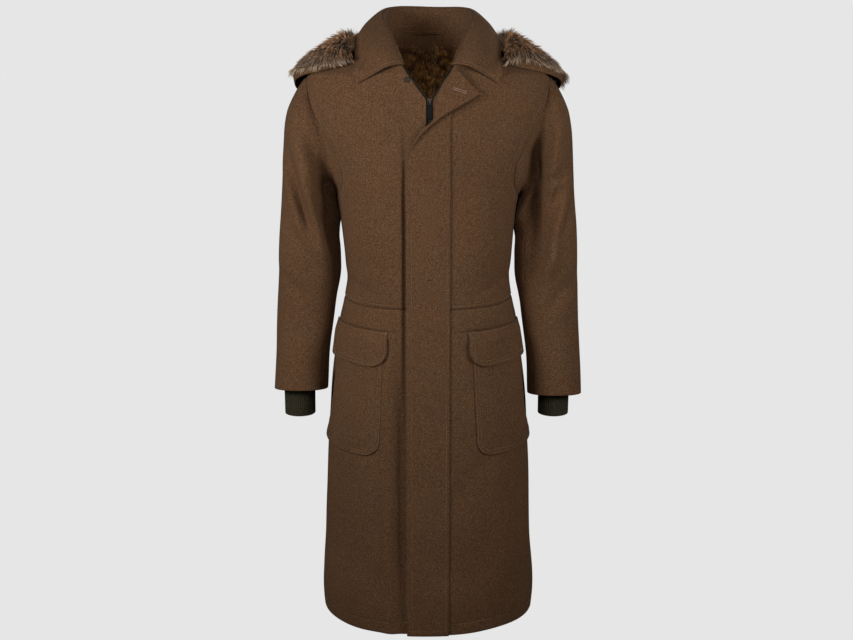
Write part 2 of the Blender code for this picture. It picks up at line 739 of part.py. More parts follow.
def collar_surface(share, place, distance):
    """Collar points moved off the underside towards the face that shows; share -1 to 1 is left to right."""
    shape = np.broadcast(share, place).shape
    share = np.broadcast_to(share, shape)
    place = np.broadcast_to(place, shape)

    def path(shares, places):
        rows = [collar_path(shares[row], np.full(1, places[row, 0]))[0] for row in range(shape[0])]
        return np.array(rows)

    step = 4e-3
    along = path(np.clip(share + step, -1, 1), place) - path(np.clip(share - step, -1, 1), place)
    up = path(share, np.clip(place + step, 0, 4)) - path(share, np.clip(place - step, 0, 4))
    normal = unit(np.cross(along, up))
    return path(share, place) + normal * np.asarray(distance)[..., None]


def make_collar(loden):
    """Stand and turned-down leaf, parted at the fold, and the hanger loop on the stand."""
    share = np.linspace(-1, 1, COLLAR_STATIONS)[None, :]
    for name, first, last, rows in (("collar_stand", 0.0, 2 - FOLD_GAP, STAND_ROWS),
                                    ("collar_leaf", 2 + FOLD_GAP, 4.0, LEAF_ROWS)):
        place = np.linspace(first, last, rows)[:, None]
        shape = (rows, COLLAR_STATIONS)
        under = collar_surface(share, place, np.zeros(shape))
        face = collar_surface(share, place, np.full(shape, CLOTH))
        if name == "collar_leaf":
            lift = clear_of_body(under, LEAF_CLEARANCE) - under
            under, face = under + lift, face + lift
        wall(name, face, under, loden)
    strip = np.linspace(-LOOP_REACH, LOOP_REACH, LOOP_POINTS)[None, :]
    place = np.array(LOOP_EDGES)[:, None]
    arch = CLOTH + LAY_GAP + LOOP_ARCH * (1 - (strip / LOOP_REACH) ** 2)
    arch = np.broadcast_to(arch, (len(LOOP_EDGES), LOOP_POINTS))
    grids = [collar_surface(strip, place, arch + thickness) for thickness in (LOOP_THICKNESS, 0.0)]
    wall("hanger_loop", *grids, loden)


def body_radius(angle, height):
    """Plan distance from the middle to the body in a true direction (0 front, SIDE +X)."""
    half_width, front, back = body_section(height)
    depth = np.where(np.cos(angle) > 0, front, back)
    wide = np.abs(np.sin(angle) / half_width) ** BODY_ROUNDNESS
    deep = np.abs(np.cos(angle) / depth) ** BODY_ROUNDNESS
    return (wide + deep) ** (-1 / BODY_ROUNDNESS)


def hood_path(angle, place):
    """Outer side of the hood at a plan angle: place 0 is the fur's inner edge, 1 crest, 3 rim, 5 the foot."""
    half = np.degrees(2 * SIDE - np.abs(2 * SIDE - angle))
    read = {name: smooth(half, HOOD["angle"], values) for name, values in HOOD.items()}
    for name in ("rim_r", "rim_z"):
        slip = smooth(half, HOOD_RIGHT["angle"], HOOD_RIGHT[name])
        read[name] = read[name] + np.where(angle < 2 * SIDE, slip, 0.0)
    foot_r = body_radius(angle, read["foot_z"]) + CLOTH + LAY_GAP + read["foot_off"]
    drop = read["rim_z"] - read["foot_z"]
    belly = HOOD_BELLY * np.clip(drop / HOOD_FULL_DROP, 0, 1)
    shoulder_r, shoulder_z = HOOD_SHOULDER
    section = np.array((
        (read["inner_r"], read["inner_z"]),
        (read["crest_r"], read["crest_z"]),
        (read["crest_r"] + shoulder_r * (read["rim_r"] - read["crest_r"]),
         read["crest_z"] + shoulder_z * (read["rim_z"] - read["crest_z"])),
        (read["rim_r"], read["rim_z"]),
        ((read["rim_r"] + foot_r) / 2 + belly, read["rim_z"] - HOOD_BELLY_PLACE * drop),
        (foot_r, read["foot_z"]),
    ))
    radius, height = through(section.transpose(0, 2, 1), place)[0].T
    return np.stack((radius * np.sin(angle), -radius * np.cos(angle), height), -1)


def cloth_depth(angle, place):
    return np.full(np.broadcast(angle, place).shape, CLOTH)


def fur_depth(angle, place):
    """Thickness of the hood's fur: full in the middle, thin at the rim, the inner edge and the front ends."""
    half = np.degrees(2 * SIDE - np.abs(2 * SIDE - angle))
    fullness = FUR_THIN + (1 - FUR_THIN) * np.sin(math.pi * np.clip(place / 3, 0, 1))
    return HOOD_FUR * fullness * np.clip(FUR_THIN + (half - HOOD_FRONT) / FUR_END_ANGLE, FUR_THIN, 1)


def hood_walls(first, last, rows, depth):
    """Outer and inner grids of a band of the hood."""
    angle = np.radians(np.linspace(HOOD_FRONT, 360 - HOOD_FRONT, HOOD_STATIONS))
    outer, inner = [], []
    step = 4e-3
    for place in np.linspace(first, last, rows):
        here = hood_path(angle, np.full(1, place))
        along = hood_path(angle + step, np.full(1, place)) - hood_path(angle - step, np.full(1, place))
        below = hood_path(angle, np.full(1, min(place + step, 5.0)))
        down = below - hood_path(angle, np.full(1, max(place - step, 0.0)))
        normal = unit(np.cross(down, along))
        thickness = depth(angle, place)[:, None]
        under = clear_of_body(here - normal * thickness, LAY_GAP)
        outer.append(under + normal * thickness)
        inner.append(under)
    return np.array(outer), np.array(inner)


def make_hood(loden, fur):
    """The hood's fur, face up round the neck, and the three cloth pieces of its pouch behind."""
    band = hood_walls(0.0, 3.0, FUR_ROWS, fur_depth)
    wall("hood_fur", *(part_seam(grid, (-1,), rows=True) for grid in band), fur)
    pouch = hood_walls(3.0, 5.0, HOOD_ROWS, cloth_depth)
    outer, inner = (part_seam(grid, (0,), rows=True) for grid in pouch)
    middle = HOOD_STATIONS // 2
    low, high = middle - HOOD_CENTRE_STATIONS // 2, middle + HOOD_CENTRE_STATIONS // 2
    for name, first, last in (("hood_side_right", 0, low), ("hood_centre", low, high),
                              ("hood_side_left", high, HOOD_STATIONS - 1)):
        wall(name, *(part_seam(grid[:, first:last + 1]) for grid in (outer, inner)), loden)


def flap_past(x, height):
    """How far a flat place of the storm flap lies past the roll line, measured the way that the corner turns."""
    past = np.zeros(np.shape(x))
    for _ in range(60):
        roll = smooth(height - past * math.sin(ROLL_TILT), ROLL["height"], ROLL["x"])
        past = (roll - x) / math.cos(ROLL_TILT)
    return past


def flap_level(x, height):
    """Flat height of a storm flap row, whose top rows slant up towards the free edge."""
    share = np.clip((height - FLAP_SLANT_START) / (FLAP_TOP - FLAP_SLANT_START), 0, 1)
    slant = FLAP_SLANT * share**2 * (3 - 2 * share)
    return height + slant * np.clip(ROLL["x"][-2] - x, 0, None)


def flap_turn(height, past):
    """x at which a row of the flap lies a given distance past the roll line."""
    x = np.linspace(0.12, -0.42, 271)
    return np.array([np.interp(past, flap_past(x, flap_level(x, level)), x) for level in height])


def flap_fold(x, height, distance):
    """Front-view place and rise of storm flap points: those past the roll line turn over it and lie back."""
    turned_way = np.array((-math.cos(ROLL_TILT), math.sin(ROLL_TILT)))
    flat = np.stack((x, height), -1)
    past = flap_past(x, height)
    bend = np.clip(past / ROLL_RADIUS, 0, math.pi)
    beyond = np.clip(past - math.pi * ROLL_RADIUS, 0, None)
    move = -np.clip(past, 0, None) + ROLL_RADIUS * np.sin(bend) - beyond - distance * np.sin(bend)
    rise = LAY_GAP + CLOTH / 2 + ROLL_RADIUS * (1 - np.cos(bend)) + distance * np.cos(bend)
    return flat + move[..., None] * turned_way, rise


def flap_shape(x, height, distance):
    """Storm flap points from their flat place."""
    place, rise = flap_fold(x, height, distance)
    return off_body(front_angle(place[..., 0], place[..., 1]), place[..., 1], rise)


def flap_edge(heights):
    """x of the free edge of each row: upright below, then where the row meets the edge of the turned corner."""
    edges = smooth(heights, FLAP_EDGE["height"], FLAP_EDGE["x"])
    x = np.linspace(0.10, -0.10, 401)
    for row in np.nonzero(heights > LAPEL_FOOT)[0]:
        place, _ = flap_fold(x, flap_level(x, heights[row]), 0.0)
        above = place[:, 1] - smooth(place[:, 0], LAPEL["x"], LAPEL["height"])
        last = np.nonzero(above > 0)[0][-1]
        edges[row] = np.interp(0.0, above[last + 1:last - 1:-1], x[last + 1:last - 1:-1])
    return edges


def make_storm_flap(loden):
    """The flap over the zip; its columns crowd where each row turns over the roll line."""
    rows = np.concatenate((skirt_rows()[:-1], (WAIST,), UPPER_ROWS, ARMHOLE["height"][:2]))
    heights = np.concatenate((rows, np.linspace(rows[-1], FLAP_TOP, FLAP_UPPER_ROWS)[1:]))
    edge = flap_edge(heights)
    turn_start = np.maximum(flap_turn(heights, 0.0), edge + TURN_MARGIN)
    turn_end = np.maximum(flap_turn(heights, math.pi * ROLL_RADIUS), edge + EDGE_MARGIN)
    seam = np.maximum(FLAP_SEAM, turn_start + SEAM_MARGIN)
    x = np.concatenate((spread(edge, turn_end, 3)[:, :-1], spread(turn_end, turn_start, 6),
                        spread(turn_start, seam, 4)[:, 1:]), axis=1)
    levels = flap_level(x, heights[:, None])
    wall("storm_flap", flap_shape(x, levels, CLOTH / 2), flap_shape(x, levels, -CLOTH / 2), loden)


def make_zip(tape_cloth, metal):
    """Tapes behind the front edges, the slider at the foot of the open neck and its pull."""
    heights = np.concatenate((skirt_rows()[1:-1], (WAIST,), panel_rows()[1:-4]))
    behind = -(CLOTH + 2 * LAY_GAP)
    for name, side in SIDES.items():
        edge = front_edge(heights, side)
        inside = np.where(heights <= SLIDER_HEIGHT, ZIP_EDGE - SEAM_GAP / 2, TAPE_SHOW)
        x = spread(edge - side * inside, edge + side * (TAPE_WIDTH - TAPE_SHOW), 3)
        levels = np.broadcast_to(heights[:, None], x.shape)
        angles = front_angle(x, levels)
        outer = off_body(angles, levels, np.full(x.shape, behind))
        inner = off_body(angles, levels, np.full(x.shape, behind - TAPE_THICKNESS))
        wall(f"zip_tape_{name}", outer, inner, tape_cloth)
    make_slider(metal, behind + LAY_GAP)


def slider_frame(height, distance):
    """Place and axes (across, down, out) of the zip at a height."""
    angle = front_angle(np.array(ZIP_MIDDLE), np.array(height))
    out = body_normal(angle, np.array(height))
    across = np.array((1.0, 0.0, 0.0))
    out = unit(out - across * (out @ across))
    down = np.cross(across, out)
    return off_body(angle, np.array(height), np.array(distance)), np.array((across, down, out))


def extruded(name, outline, half_width, frame, material, origin=(0.0, 0.0, 0.0)):
    """A (down, out) outline carried from -half_width to half_width across the zip."""
    place, axes = frame
    count = len(outline)
    points = [(offset, down, out) for offset in (-half_width, half_width) for down, out in outline]
    faces = [tuple(range(count)), tuple(range(2 * count - 1, count - 1, -1))]
    faces += [((i + 1) % count, i, i + count, (i + 1) % count + count) for i in range(count)]
    return make_object(name, place + np.array(points) @ axes, faces, material, origin)


def join_into(piece, other):
    """Unites another object with a piece and removes the other."""
    union = piece.modifiers.new("union", "BOOLEAN")
    union.operation = "UNION"
    union.object = other
    depsgraph = bpy.context.evaluated_depsgraph_get()
    joined = bpy.data.meshes.new_from_object(piece.evaluated_get(depsgraph))
    piece.modifiers.clear()
    piece.data = joined
    bpy.data.objects.remove(other)


def make_slider(metal, back):
    """Slider plate with an arched bridge, and the pull that hangs from a bar under the bridge."""
    frame = slider_frame(SLIDER_HEIGHT - SLIDER_DROP, 0.0)
    half = SLIDER_LENGTH / 2
    front = back + SLIDER_THICKNESS
    plate = ((-half, back), (half, back), (half, front - SLIDER_BEVEL), (half - SLIDER_BEVEL, front),
             (SLIDER_BEVEL - half, front), (-half, front - SLIDER_BEVEL))
    slider = extruded("zip_slider", plate, SLIDER_WIDTH / 2, frame, metal)
    foot = front - BRIDGE_SINK
    rise = front + BRIDGE_RISE
    inside = rise - BRIDGE_THICKNESS
    leg = BRIDGE_HALF_LENGTH - BRIDGE_THICKNESS
    crown = BRIDGE_HALF_LENGTH - BRIDGE_SLOPE
    hollow = leg - BRIDGE_SLOPE
    bridge = ((-BRIDGE_HALF_LENGTH, foot), (-leg, foot), (-hollow, inside), (hollow, inside), (leg, foot),
              (BRIDGE_HALF_LENGTH, foot), (crown, rise), (-crown, rise))
    join_into(slider, extruded("bridge", bridge, BRIDGE_HALF_WIDTH, frame, metal))
    make_pull(metal, frame, front + PULL_BAR + PULL_PLAY)


def make_pull(metal, frame, out):
    """The pull: a bar across, two arms and a tab with a rounded end, as cells of one plate with a slot."""
    place, axes = frame
    pivot = place + out * axes[2]
    across = (-PULL_ARM_OUT, PULL_ARM_WIDTH - PULL_ARM_OUT, PULL_ARM_OUT - PULL_ARM_WIDTH, PULL_ARM_OUT)
    tab_side = PULL_WIDTH / 2 - PULL_ARM_OUT
    # Rows down the pull: place, half thickness and how far its sides stand beyond the arms
    rows = ((-PULL_BAR, PULL_BAR, 0.0), (PULL_BAR, PULL_BAR, 0.0), (PULL_ARM_LENGTH, PULL_BAR, 0.0),
            (PULL_ARM_LENGTH + PULL_SHOULDER, PULL_THICKNESS / 2, tab_side),
            (PULL_LENGTH - PULL_END, PULL_THICKNESS / 2, tab_side),
            (PULL_LENGTH, PULL_THICKNESS / 4, tab_side - PULL_END_INSET))
    columns = len(across)
    points = []
    for face in (-1.0, 1.0):
        for down, half, beyond in rows:
            for x in across:
                points.append((x + math.copysign(beyond, x) * (abs(x) == PULL_ARM_OUT), down, face * half))
    count = columns * len(rows)
    cells = [(row, column) for row in range(len(rows) - 1) for column in range(columns - 1)]
    cells.remove(PULL_SLOT_CELL)
    edges = {}
    faces = []
    for row, column in cells:
        here = row * columns + column
        corners = (here, here + 1, here + columns + 1, here + columns)
        faces.append(corners)
        faces.append(tuple(count + corner for corner in reversed(corners)))
        for first, second in zip(corners, corners[1:] + corners[:1]):
            edges[(first, second)] = True
    for first, second in edges:
        if (second, first) not in edges:
            faces.append((second, first, count + first, count + second))
    make_object("zip_pull", pivot + np.array(points) @ axes, faces, metal, pivot)


def corner_inset(height, bottom, radius):
    """How far a rounded lower corner draws an edge in at each height."""
    below = np.clip(radius - (height - bottom), 0, radius)
    return radius - np.sqrt(radius**2 - below**2)


def pocket_rows(bottom, top, corner, even_rows):
    """Heights of a pocket piece's rows, crowded in its rounded lower corner."""
    return np.concatenate((bottom + corner * CORNER_STEPS, np.linspace(bottom + corner, top, even_rows)[1:]))


def make_pockets(loden):
    """Patch pockets with flaps over them, both laid on the skirt."""
    patch_rows = pocket_rows(POCKET_BOTTOM, POCKET_TOP, POCKET_CORNER, POCKET_EVEN_ROWS)
    flap_rows = pocket_rows(FLAP_LOWER, FLAP_UPPER, FLAP_CORNER, FLAP_EVEN_ROWS)
    slope = (POCKET_INNER_TOP - POCKET_INNER_BOTTOM) / (POCKET_TOP - POCKET_BOTTOM)
    patch_edge = POCKET_INNER_BOTTOM + slope * (patch_rows - POCKET_BOTTOM)
    patch_edge = patch_edge + corner_inset(patch_rows, POCKET_BOTTOM, POCKET_CORNER)
    flap_edge = FLAP_INNER + corner_inset(flap_rows, FLAP_LOWER, FLAP_CORNER)
    over = POCKET_GAP + POCKET_WALL + LAY_GAP + POCKET_LIFT
    drop = np.clip((FLAP_UPPER - flap_rows) / (FLAP_UPPER - POCKET_TOP) * FLAP_FALL, 0, 1)
    flap_lift = LAY_GAP + (over - LAY_GAP) * drop
    patch_lift = np.full(patch_rows.shape, POCKET_GAP)
    patch_side = np.interp(patch_rows, (POCKET_BOTTOM, POCKET_TOP), np.radians(POCKET_OUTER_ANGLES))
    flap_side = np.full(flap_rows.shape, math.radians(FLAP_OUTER_ANGLE))
    pieces = (("pocket_patch", patch_rows, patch_edge, patch_side, patch_lift),
              ("pocket_flap", flap_rows, flap_edge, flap_side, flap_lift))
    for name, side in SIDES.items():
        for piece, heights, edge, last, lift in pieces:
            angles = side * spread(front_angle(edge, heights), last, POCKET_COLUMNS)
            levels = np.broadcast_to(heights[:, None], angles.shape)
            share = np.linspace(0, 1, POCKET_COLUMNS)[None, :]
            open_lift = POCKET_LIFT * share**3 if piece == "pocket_patch" else 0.0
            lifts = np.broadcast_to(lift[:, None] + open_lift, angles.shape)
            grids = [off_body(angles, levels, lifts + thickness) for thickness in (POCKET_WALL, 0.0)]
            wall(f"{piece}_{name}", *grids, loden)


def make_lining(fur):
    """Fur lining of the back, down to where it can be seen through the open neck."""
    heights = panel_rows()
    heights = heights[(heights > LINING_LOWER) & (heights < LINING_UPPER)]
    start = outer_edge(heights, back=True)
    angles = spread(start, 4 * SIDE - start, BACK_COLUMNS)[:, LINING_MARGIN:-LINING_MARGIN]
    levels = np.broadcast_to(heights[:, None], angles.shape)
    shallow = -(CLOTH + LAY_GAP)
    outer = off_body(angles, levels, np.full(angles.shape, shallow))
    inner = off_body(angles, levels, np.full(angles.shape, shallow - FUR_LINING))
    wall("lining_back", outer, inner, fur)


def make_button(metal):
    """The small button at the neck of the left front."""
    x, height = (np.array(value) for value in BUTTON_PLACE)
    angle = front_angle(x, height)
    out = body_normal(angle, height)
    across = unit(np.cross(np.array((0.0, 0.0, 1.0)), out))
    up = np.cross(out, across)
    turn = np.linspace(0, 2 * math.pi, BUTTON_SIDES, endpoint=False)
    rings = []
    for radius, rise in BUTTON_RINGS:
        ring = (np.cos(turn)[:, None] * across + np.sin(turn)[:, None] * up) * radius * BUTTON_RADIUS
        rings.append(off_body(angle, height, np.array(SEAM_GAP)) + ring + out * rise * BUTTON_THICKNESS)
    count = BUTTON_SIDES
    last = len(BUTTON_RINGS) - 1
    faces = [tuple(range(count)), tuple(range(last * count, (last + 1) * count))[::-1]]
    for row in range(last):
        for column in range(count):
            beside = (column + 1) % count
            faces.append((row * count + column, (row + 1) * count + column, (row + 1) * count + beside,
                          row * count + beside))
    make_object("neck_button", np.concatenate(rings), faces, metal)


def main():
    for piece in list(bpy.data.objects):
        bpy.data.objects.remove(piece)
    loden = cloth_material("loden", (0.098, 0.052, 0.027), 0.95)
    hood_fur = cloth_material("hood fur", (0.150, 0.090, 0.055), 0.90)
    dark_fur = cloth_material("lining fur", (0.035, 0.015, 0.007), 0.90)
    knit = cloth_material("olive knit", (0.022, 0.019, 0.011), 0.95)
    tape = cloth_material("zip tape", (0.040, 0.030, 0.020), 0.90)
    metal = cloth_material("dark metal", (0.020, 0.020, 0.022), 0.35, 0.9)
    make_body(loden)
    make_sleeves(loden)
    make_cuffs(knit)
    make_collar(loden)
    make_hood(loden, hood_fur)
    make_storm_flap(loden)
    make_zip(tape, metal)
    make_pockets(loden)
    make_lining(dark_fur)
    make_button(metal)


main()
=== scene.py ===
# %% [markdown]
# # A hooded loden coat
# The coat is shown filled out as if worn, with nobody in it. Its solids come from the imported model and are
# the frame of this scene. Here every panel of cloth gets a finer wall with soft edges and listed creases,
# then its sewing, its fur, its zip and its finishes. Left and right are the viewer's, so left is -X.

# %% Load the frame
import math

import bpy
import numpy as np
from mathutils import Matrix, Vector
from mathutils.bvhtree import BVHTree


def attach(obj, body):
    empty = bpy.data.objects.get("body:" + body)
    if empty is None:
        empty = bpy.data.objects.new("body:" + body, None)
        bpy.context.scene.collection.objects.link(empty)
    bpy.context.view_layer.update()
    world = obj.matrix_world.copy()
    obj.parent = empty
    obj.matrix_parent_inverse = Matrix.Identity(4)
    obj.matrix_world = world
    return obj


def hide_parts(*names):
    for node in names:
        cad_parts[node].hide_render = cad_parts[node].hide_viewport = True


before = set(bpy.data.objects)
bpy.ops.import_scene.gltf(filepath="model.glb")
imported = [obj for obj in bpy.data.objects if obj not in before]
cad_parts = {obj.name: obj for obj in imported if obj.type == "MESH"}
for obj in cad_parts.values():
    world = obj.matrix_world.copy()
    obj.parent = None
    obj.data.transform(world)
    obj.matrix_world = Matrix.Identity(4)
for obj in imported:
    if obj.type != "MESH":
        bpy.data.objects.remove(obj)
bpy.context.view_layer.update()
scene = bpy.context.scene

# %% [markdown]
# ## Camera
# The photograph looks slightly down at the coat. Its lens is given by the focal length in pixels, so that
# the same picture width always gives the same view. The camera comes first.

# %% Camera
PHOTO_WIDTH = 853
FOCAL_PIXELS = 1258
CAMERA_PLACE = (-0.003, -2.5, 0.085)
CAMERA_DOWN = math.radians(14.1)


def linked(name, data):
    """An object with its data, put into the scene."""
    thing = bpy.data.objects.new(name, data)
    scene.collection.objects.link(thing)
    return thing


camera = bpy.data.cameras.new("photo_camera")
camera.sensor_width = 36.0
camera.lens = camera.sensor_width * FOCAL_PIXELS / PHOTO_WIDTH
viewer = linked("photo_camera", camera)
viewer.location = CAMERA_PLACE
viewer.rotation_euler = (math.pi / 2 - CAMERA_DOWN, 0.0, 0.0)
scene.camera = viewer
scene.view_settings.view_transform = "Standard"
print("lens", round(camera.lens, 1), "mm")

# %% [markdown]
# ## Floor and light
# A studio lights dark cloth from both sides, so that its creases show, and keeps the ground pale. Two soft
# lamps stand low at the left and the right, the left one stronger. A weaker one in front reaches into the
# neck, and one behind lifts the back off the ground. They are near the chest, so the skirt is darker. The
# floor lies well below the hem, where the coat's shadow is faint, and it looks paler to the camera than the
# light that it throws back on the coat.

# %% Floor and light
FLOOR_HEIGHT = -1.75
FLOOR_HALF = 30.0
FLOOR_BOUNCE = 0.35
SKY_SHARE = 0.05
PALE = 0.791


def grey(value):
    return value, value, value, 1.0


def fill(tree, node, sockets):
    """Puts values, or the sockets of other nodes, into a node."""
    for name, source in sockets.items():
        if isinstance(source, bpy.types.NodeSocket):
            tree.links.new(source, node.inputs[name])
        else:
            node.inputs[name].default_value = source


def tree_step(tree, kind, sockets=None, **settings):
    """One node of a tree, with its settings and the values or sockets that go into it."""
    node = tree.nodes.new(kind)
    for name, value in settings.items():
        setattr(node, name, value)
    fill(tree, node, sockets or {})
    return node


def pale_ground():
    """A pale ground: bright to the camera, dimmer as a source of bounced light."""
    material = bpy.data.materials.new("pale_floor")
    material.use_nodes = True
    tree = material.node_tree
    tree.nodes.clear()
    seen = tree_step(tree, "ShaderNodeLightPath").outputs["Is Camera Ray"]
    matt = tree_step(tree, "ShaderNodeBsdfDiffuse", {"Color": grey(FLOOR_BOUNCE)}).outputs[0]
    glow = tree_step(tree, "ShaderNodeEmission", {"Color": grey(PALE)}).outputs[0]
    mix = tree_step(tree, "ShaderNodeMixShader", {0: seen, 1: matt, 2: glow})
    tree_step(tree, "ShaderNodeOutputMaterial", {"Surface": mix.outputs[0]})
    return material


floor_corners = [(x * FLOOR_HALF, y * FLOOR_HALF, FLOOR_HEIGHT)
                 for x, y in ((-1, -1), (1, -1), (1, 1), (-1, 1))]
floor_mesh = bpy.data.meshes.new("floor")
floor_mesh.from_pydata(floor_corners, [], [(0, 1, 2, 3)])
floor_mesh.materials.append(pale_ground())
linked("floor", floor_mesh)

world = bpy.data.worlds.new("studio")
scene.world = world
world.use_nodes = True
sky = world.node_tree
sky_seen = tree_step(sky, "ShaderNodeLightPath").outputs["Is Camera Ray"]
sky_share = tree_step(sky, "ShaderNodeMapRange", {"Value": sky_seen, "To Min": SKY_SHARE, "To Max": 1.0})
fill(sky, sky.nodes["Background"], {"Color": grey(PALE), "Strength": sky_share.outputs["Result"]})


def soft_lamp(name, place, aim, size, power):
    lamp = bpy.data.lights.new(name, "AREA")
    lamp.shape = "DISK"
    lamp.size = size
    lamp.energy = power
    holder = linked(name, lamp)
    holder.location = place
    holder.rotation_euler = (Vector(aim) - Vector(place)).to_track_quat("-Z", "Y").to_euler()
    holder.visible_camera = False


soft_lamp("left", (-1.0, -0.96, 0.04), (0.0, 0.0, -0.38), 0.5, 11.6)
soft_lamp("right", (1.05, -0.94, 0.0), (0.0, 0.0, -0.4), 0.5, 7.7)
soft_lamp("front", (0.0, -1.6, 0.6), (0.0, 0.0, -0.02), 0.5, 5.5)
soft_lamp("rear", (0.6, 2.2, 1.3), (0.0, 0.0, -0.3), 1.8, 20.0)

# %% [markdown]
# ## Finishes
# Loden is wool that is woven and then felted until the weave is gone. Its brown is a blend of light, dark and
# reddish fibres, and its nap catches light at a slant. The same blend shows on the collar, the flaps and the
# body, so it is one node group. The knit, the tape and the felt under the collar take it with other colours.


# %% The fibre blend
def group_socket(tree, name, kind, out=False):
    tree.interface.new_socket(name, in_out="OUTPUT" if out else "INPUT", socket_type=f"NodeSocket{kind}")


def combined(tree, operation, first, second, kind="ShaderNodeVectorMath"):
    """Two values put together by one step of arithmetic."""
    other = "Scale" if operation == "SCALE" else 1
    return tree_step(tree, kind, {0: first, other: second}, operation=operation).outputs[0]


def noise(tree, vector, scale, detail, roughness=0.6):
    sockets = {"Vector": vector, "Scale": scale, "Detail": detail, "Roughness": roughness}
    return tree_step(tree, "ShaderNodeTexNoise", sockets).outputs["Fac"]


def ramp(tree, value, low, high, least=0.0, most=1.0):
    sockets = {"Value": value, "From Min": low, "From Max": high, "To Min": least, "To Max": most}
    return tree_step(tree, "ShaderNodeMapRange", sockets).outputs["Result"]


def turning(tree, colour, other, value, low, high, least=0.0, most=1.0):
    """A colour, from a socket or fixed, that turns into another while a value runs from low to high."""
    mix = tree_step(tree, "ShaderNodeMix", data_type="RGBA")
    inputs = {socket.name: socket for socket in mix.inputs if socket.enabled}
    tree.links.new(ramp(tree, value, low, high, least, most), inputs["Factor"])
    for name, source in (("A", colour), ("B", other)):
        if isinstance(source, tuple):
            inputs[name].default_value = (*source, 1.0)
        else:
            tree.links.new(source, inputs[name])
    return next(socket for socket in mix.outputs if socket.enabled)


FIBRE_COLOURS = ("Base", "Light", "Dark", "Warm")


def fibre_group():
    """Colour and height of a felted blend of fibres."""
    tree = bpy.data.node_groups.new("fibre_blend", "ShaderNodeTree")
    group_socket(tree, "Place", "Vector")
    for name in FIBRE_COLOURS:
        group_socket(tree, name, "Color")
    group_socket(tree, "Colour", "Color", out=True)
    group_socket(tree, "Height", "Float", out=True)
    given = tree_step(tree, "NodeGroupInput").outputs
    place = given["Place"]
    fine = noise(tree, place, 560.0, 2.0, 0.7)
    hair = noise(tree, place, 1150.0, 1.0)
    fleck = noise(tree, place, 430.0, 3.0, 0.7)
    broad = noise(tree, place, 17.0, 3.0)
    cloud = noise(tree, place, 5.0, 2.0)
    colour = given["Base"]
    for other, value, low, high, most in (("Warm", broad, 0.35, 0.65, 0.5), ("Dark", fine, 0.48, 0.32, 0.75),
                                          ("Light", fine, 0.52, 0.7, 0.8), ("Light", fleck, 0.54, 0.7, 0.5),
                                          ("Dark", fleck, 0.46, 0.3, 0.55)):
        colour = turning(tree, colour, given[other], value, low, high, most=most)
    colour = combined(tree, "SCALE", colour, ramp(tree, cloud, 0.3, 0.7, 0.93, 1.06))
    height = tree_step(tree, "ShaderNodeMath", {0: hair, 1: 0.4, 2: fine}, operation="MULTIPLY_ADD")
    tree_step(tree, "NodeGroupOutput", {"Colour": colour, "Height": height.outputs[0]})
    return tree


FIBRE = fibre_group()
print("fibre group", len(FIBRE.nodes), "nodes")


# %% Cloth materials
NAP_HEIGHT = 0.0006


def principled(name):
    material = bpy.data.materials.new(name)
    material.use_nodes = True
    return material, material.node_tree, material.node_tree.nodes["Principled BSDF"]


def object_place(tree):
    return tree_step(tree, "ShaderNodeTexCoord").outputs["Object"]


def felted(name, base, light, dark, warm, nap, sheen, sheen_tint):
    """A woollen cloth: the fibre blend with its own colours, a nap and a sheen."""
    material, tree, shader = principled(name)
    colours = {label: (*colour, 1.0) for label, colour in zip(FIBRE_COLOURS, (base, light, dark, warm))}
    colours["Place"] = object_place(tree)
    fibres = tree_step(tree, "ShaderNodeGroup", colours, node_tree=FIBRE).outputs
    bump = tree_step(tree, "ShaderNodeBump",
                     {"Strength": nap, "Distance": NAP_HEIGHT, "Height": fibres["Height"]})
    fill(tree, shader, {"Base Color": fibres["Colour"], "Normal": bump.outputs["Normal"], "Roughness": 0.95,
                        "Specular IOR Level": 0.12, "Sheen Weight": sheen, "Sheen Roughness": 0.55,
                        "Sheen Tint": (*sheen_tint, 1.0)})
    return material


LODEN = felted("loden", (0.112, 0.055, 0.026), (0.24, 0.145, 0.082), (0.036, 0.017, 0.008),
               (0.128, 0.055, 0.021), 0.55, 0.08, (0.6, 0.42, 0.27))
FELT = felted("collar_felt", (0.06, 0.055, 0.036), (0.115, 0.108, 0.075), (0.03, 0.027, 0.018),
              (0.062, 0.052, 0.032), 0.3, 0.08, (0.5, 0.5, 0.4))
TAPE = felted("zip_tape", (0.036, 0.03, 0.017), (0.07, 0.06, 0.036), (0.016, 0.013, 0.008),
              (0.036, 0.028, 0.015), 0.25, 0.02, (0.4, 0.36, 0.26))
print("cloth materials", LODEN.name, FELT.name, TAPE.name)

# %% [markdown]
# ## Walls with soft edges
# A panel is a wall between two grids of points, one for each face of the cloth. A flat cut edge looks like
# card, so extra rows are put close to each edge and the wall is thinned there along a half ellipse. That
# gives the turned edge of a sewn hem, and where two panels meet the small valley of a pressed seam.

# %% Tables and walls
CLOTH = 0.003
SEAM_GAP = 0.00004
LAY_GAP = 0.0007
SIDE = math.pi / 2
SIDES = {"left": -1.0, "right": 1.0}
EDGE_STEPS = (0.0003, 0.0009, 0.0018)
EDGE_ROUND = 0.002
EDGE_LEAST = 0.08
SHELLS = {}
CLOTHS = {}
GRIDS = {}
FLAT_SIZES = {}


def table(columns, *rows):
    """A small table as arrays by column name."""
    return dict(zip(columns.split(), np.array(rows, float).T))


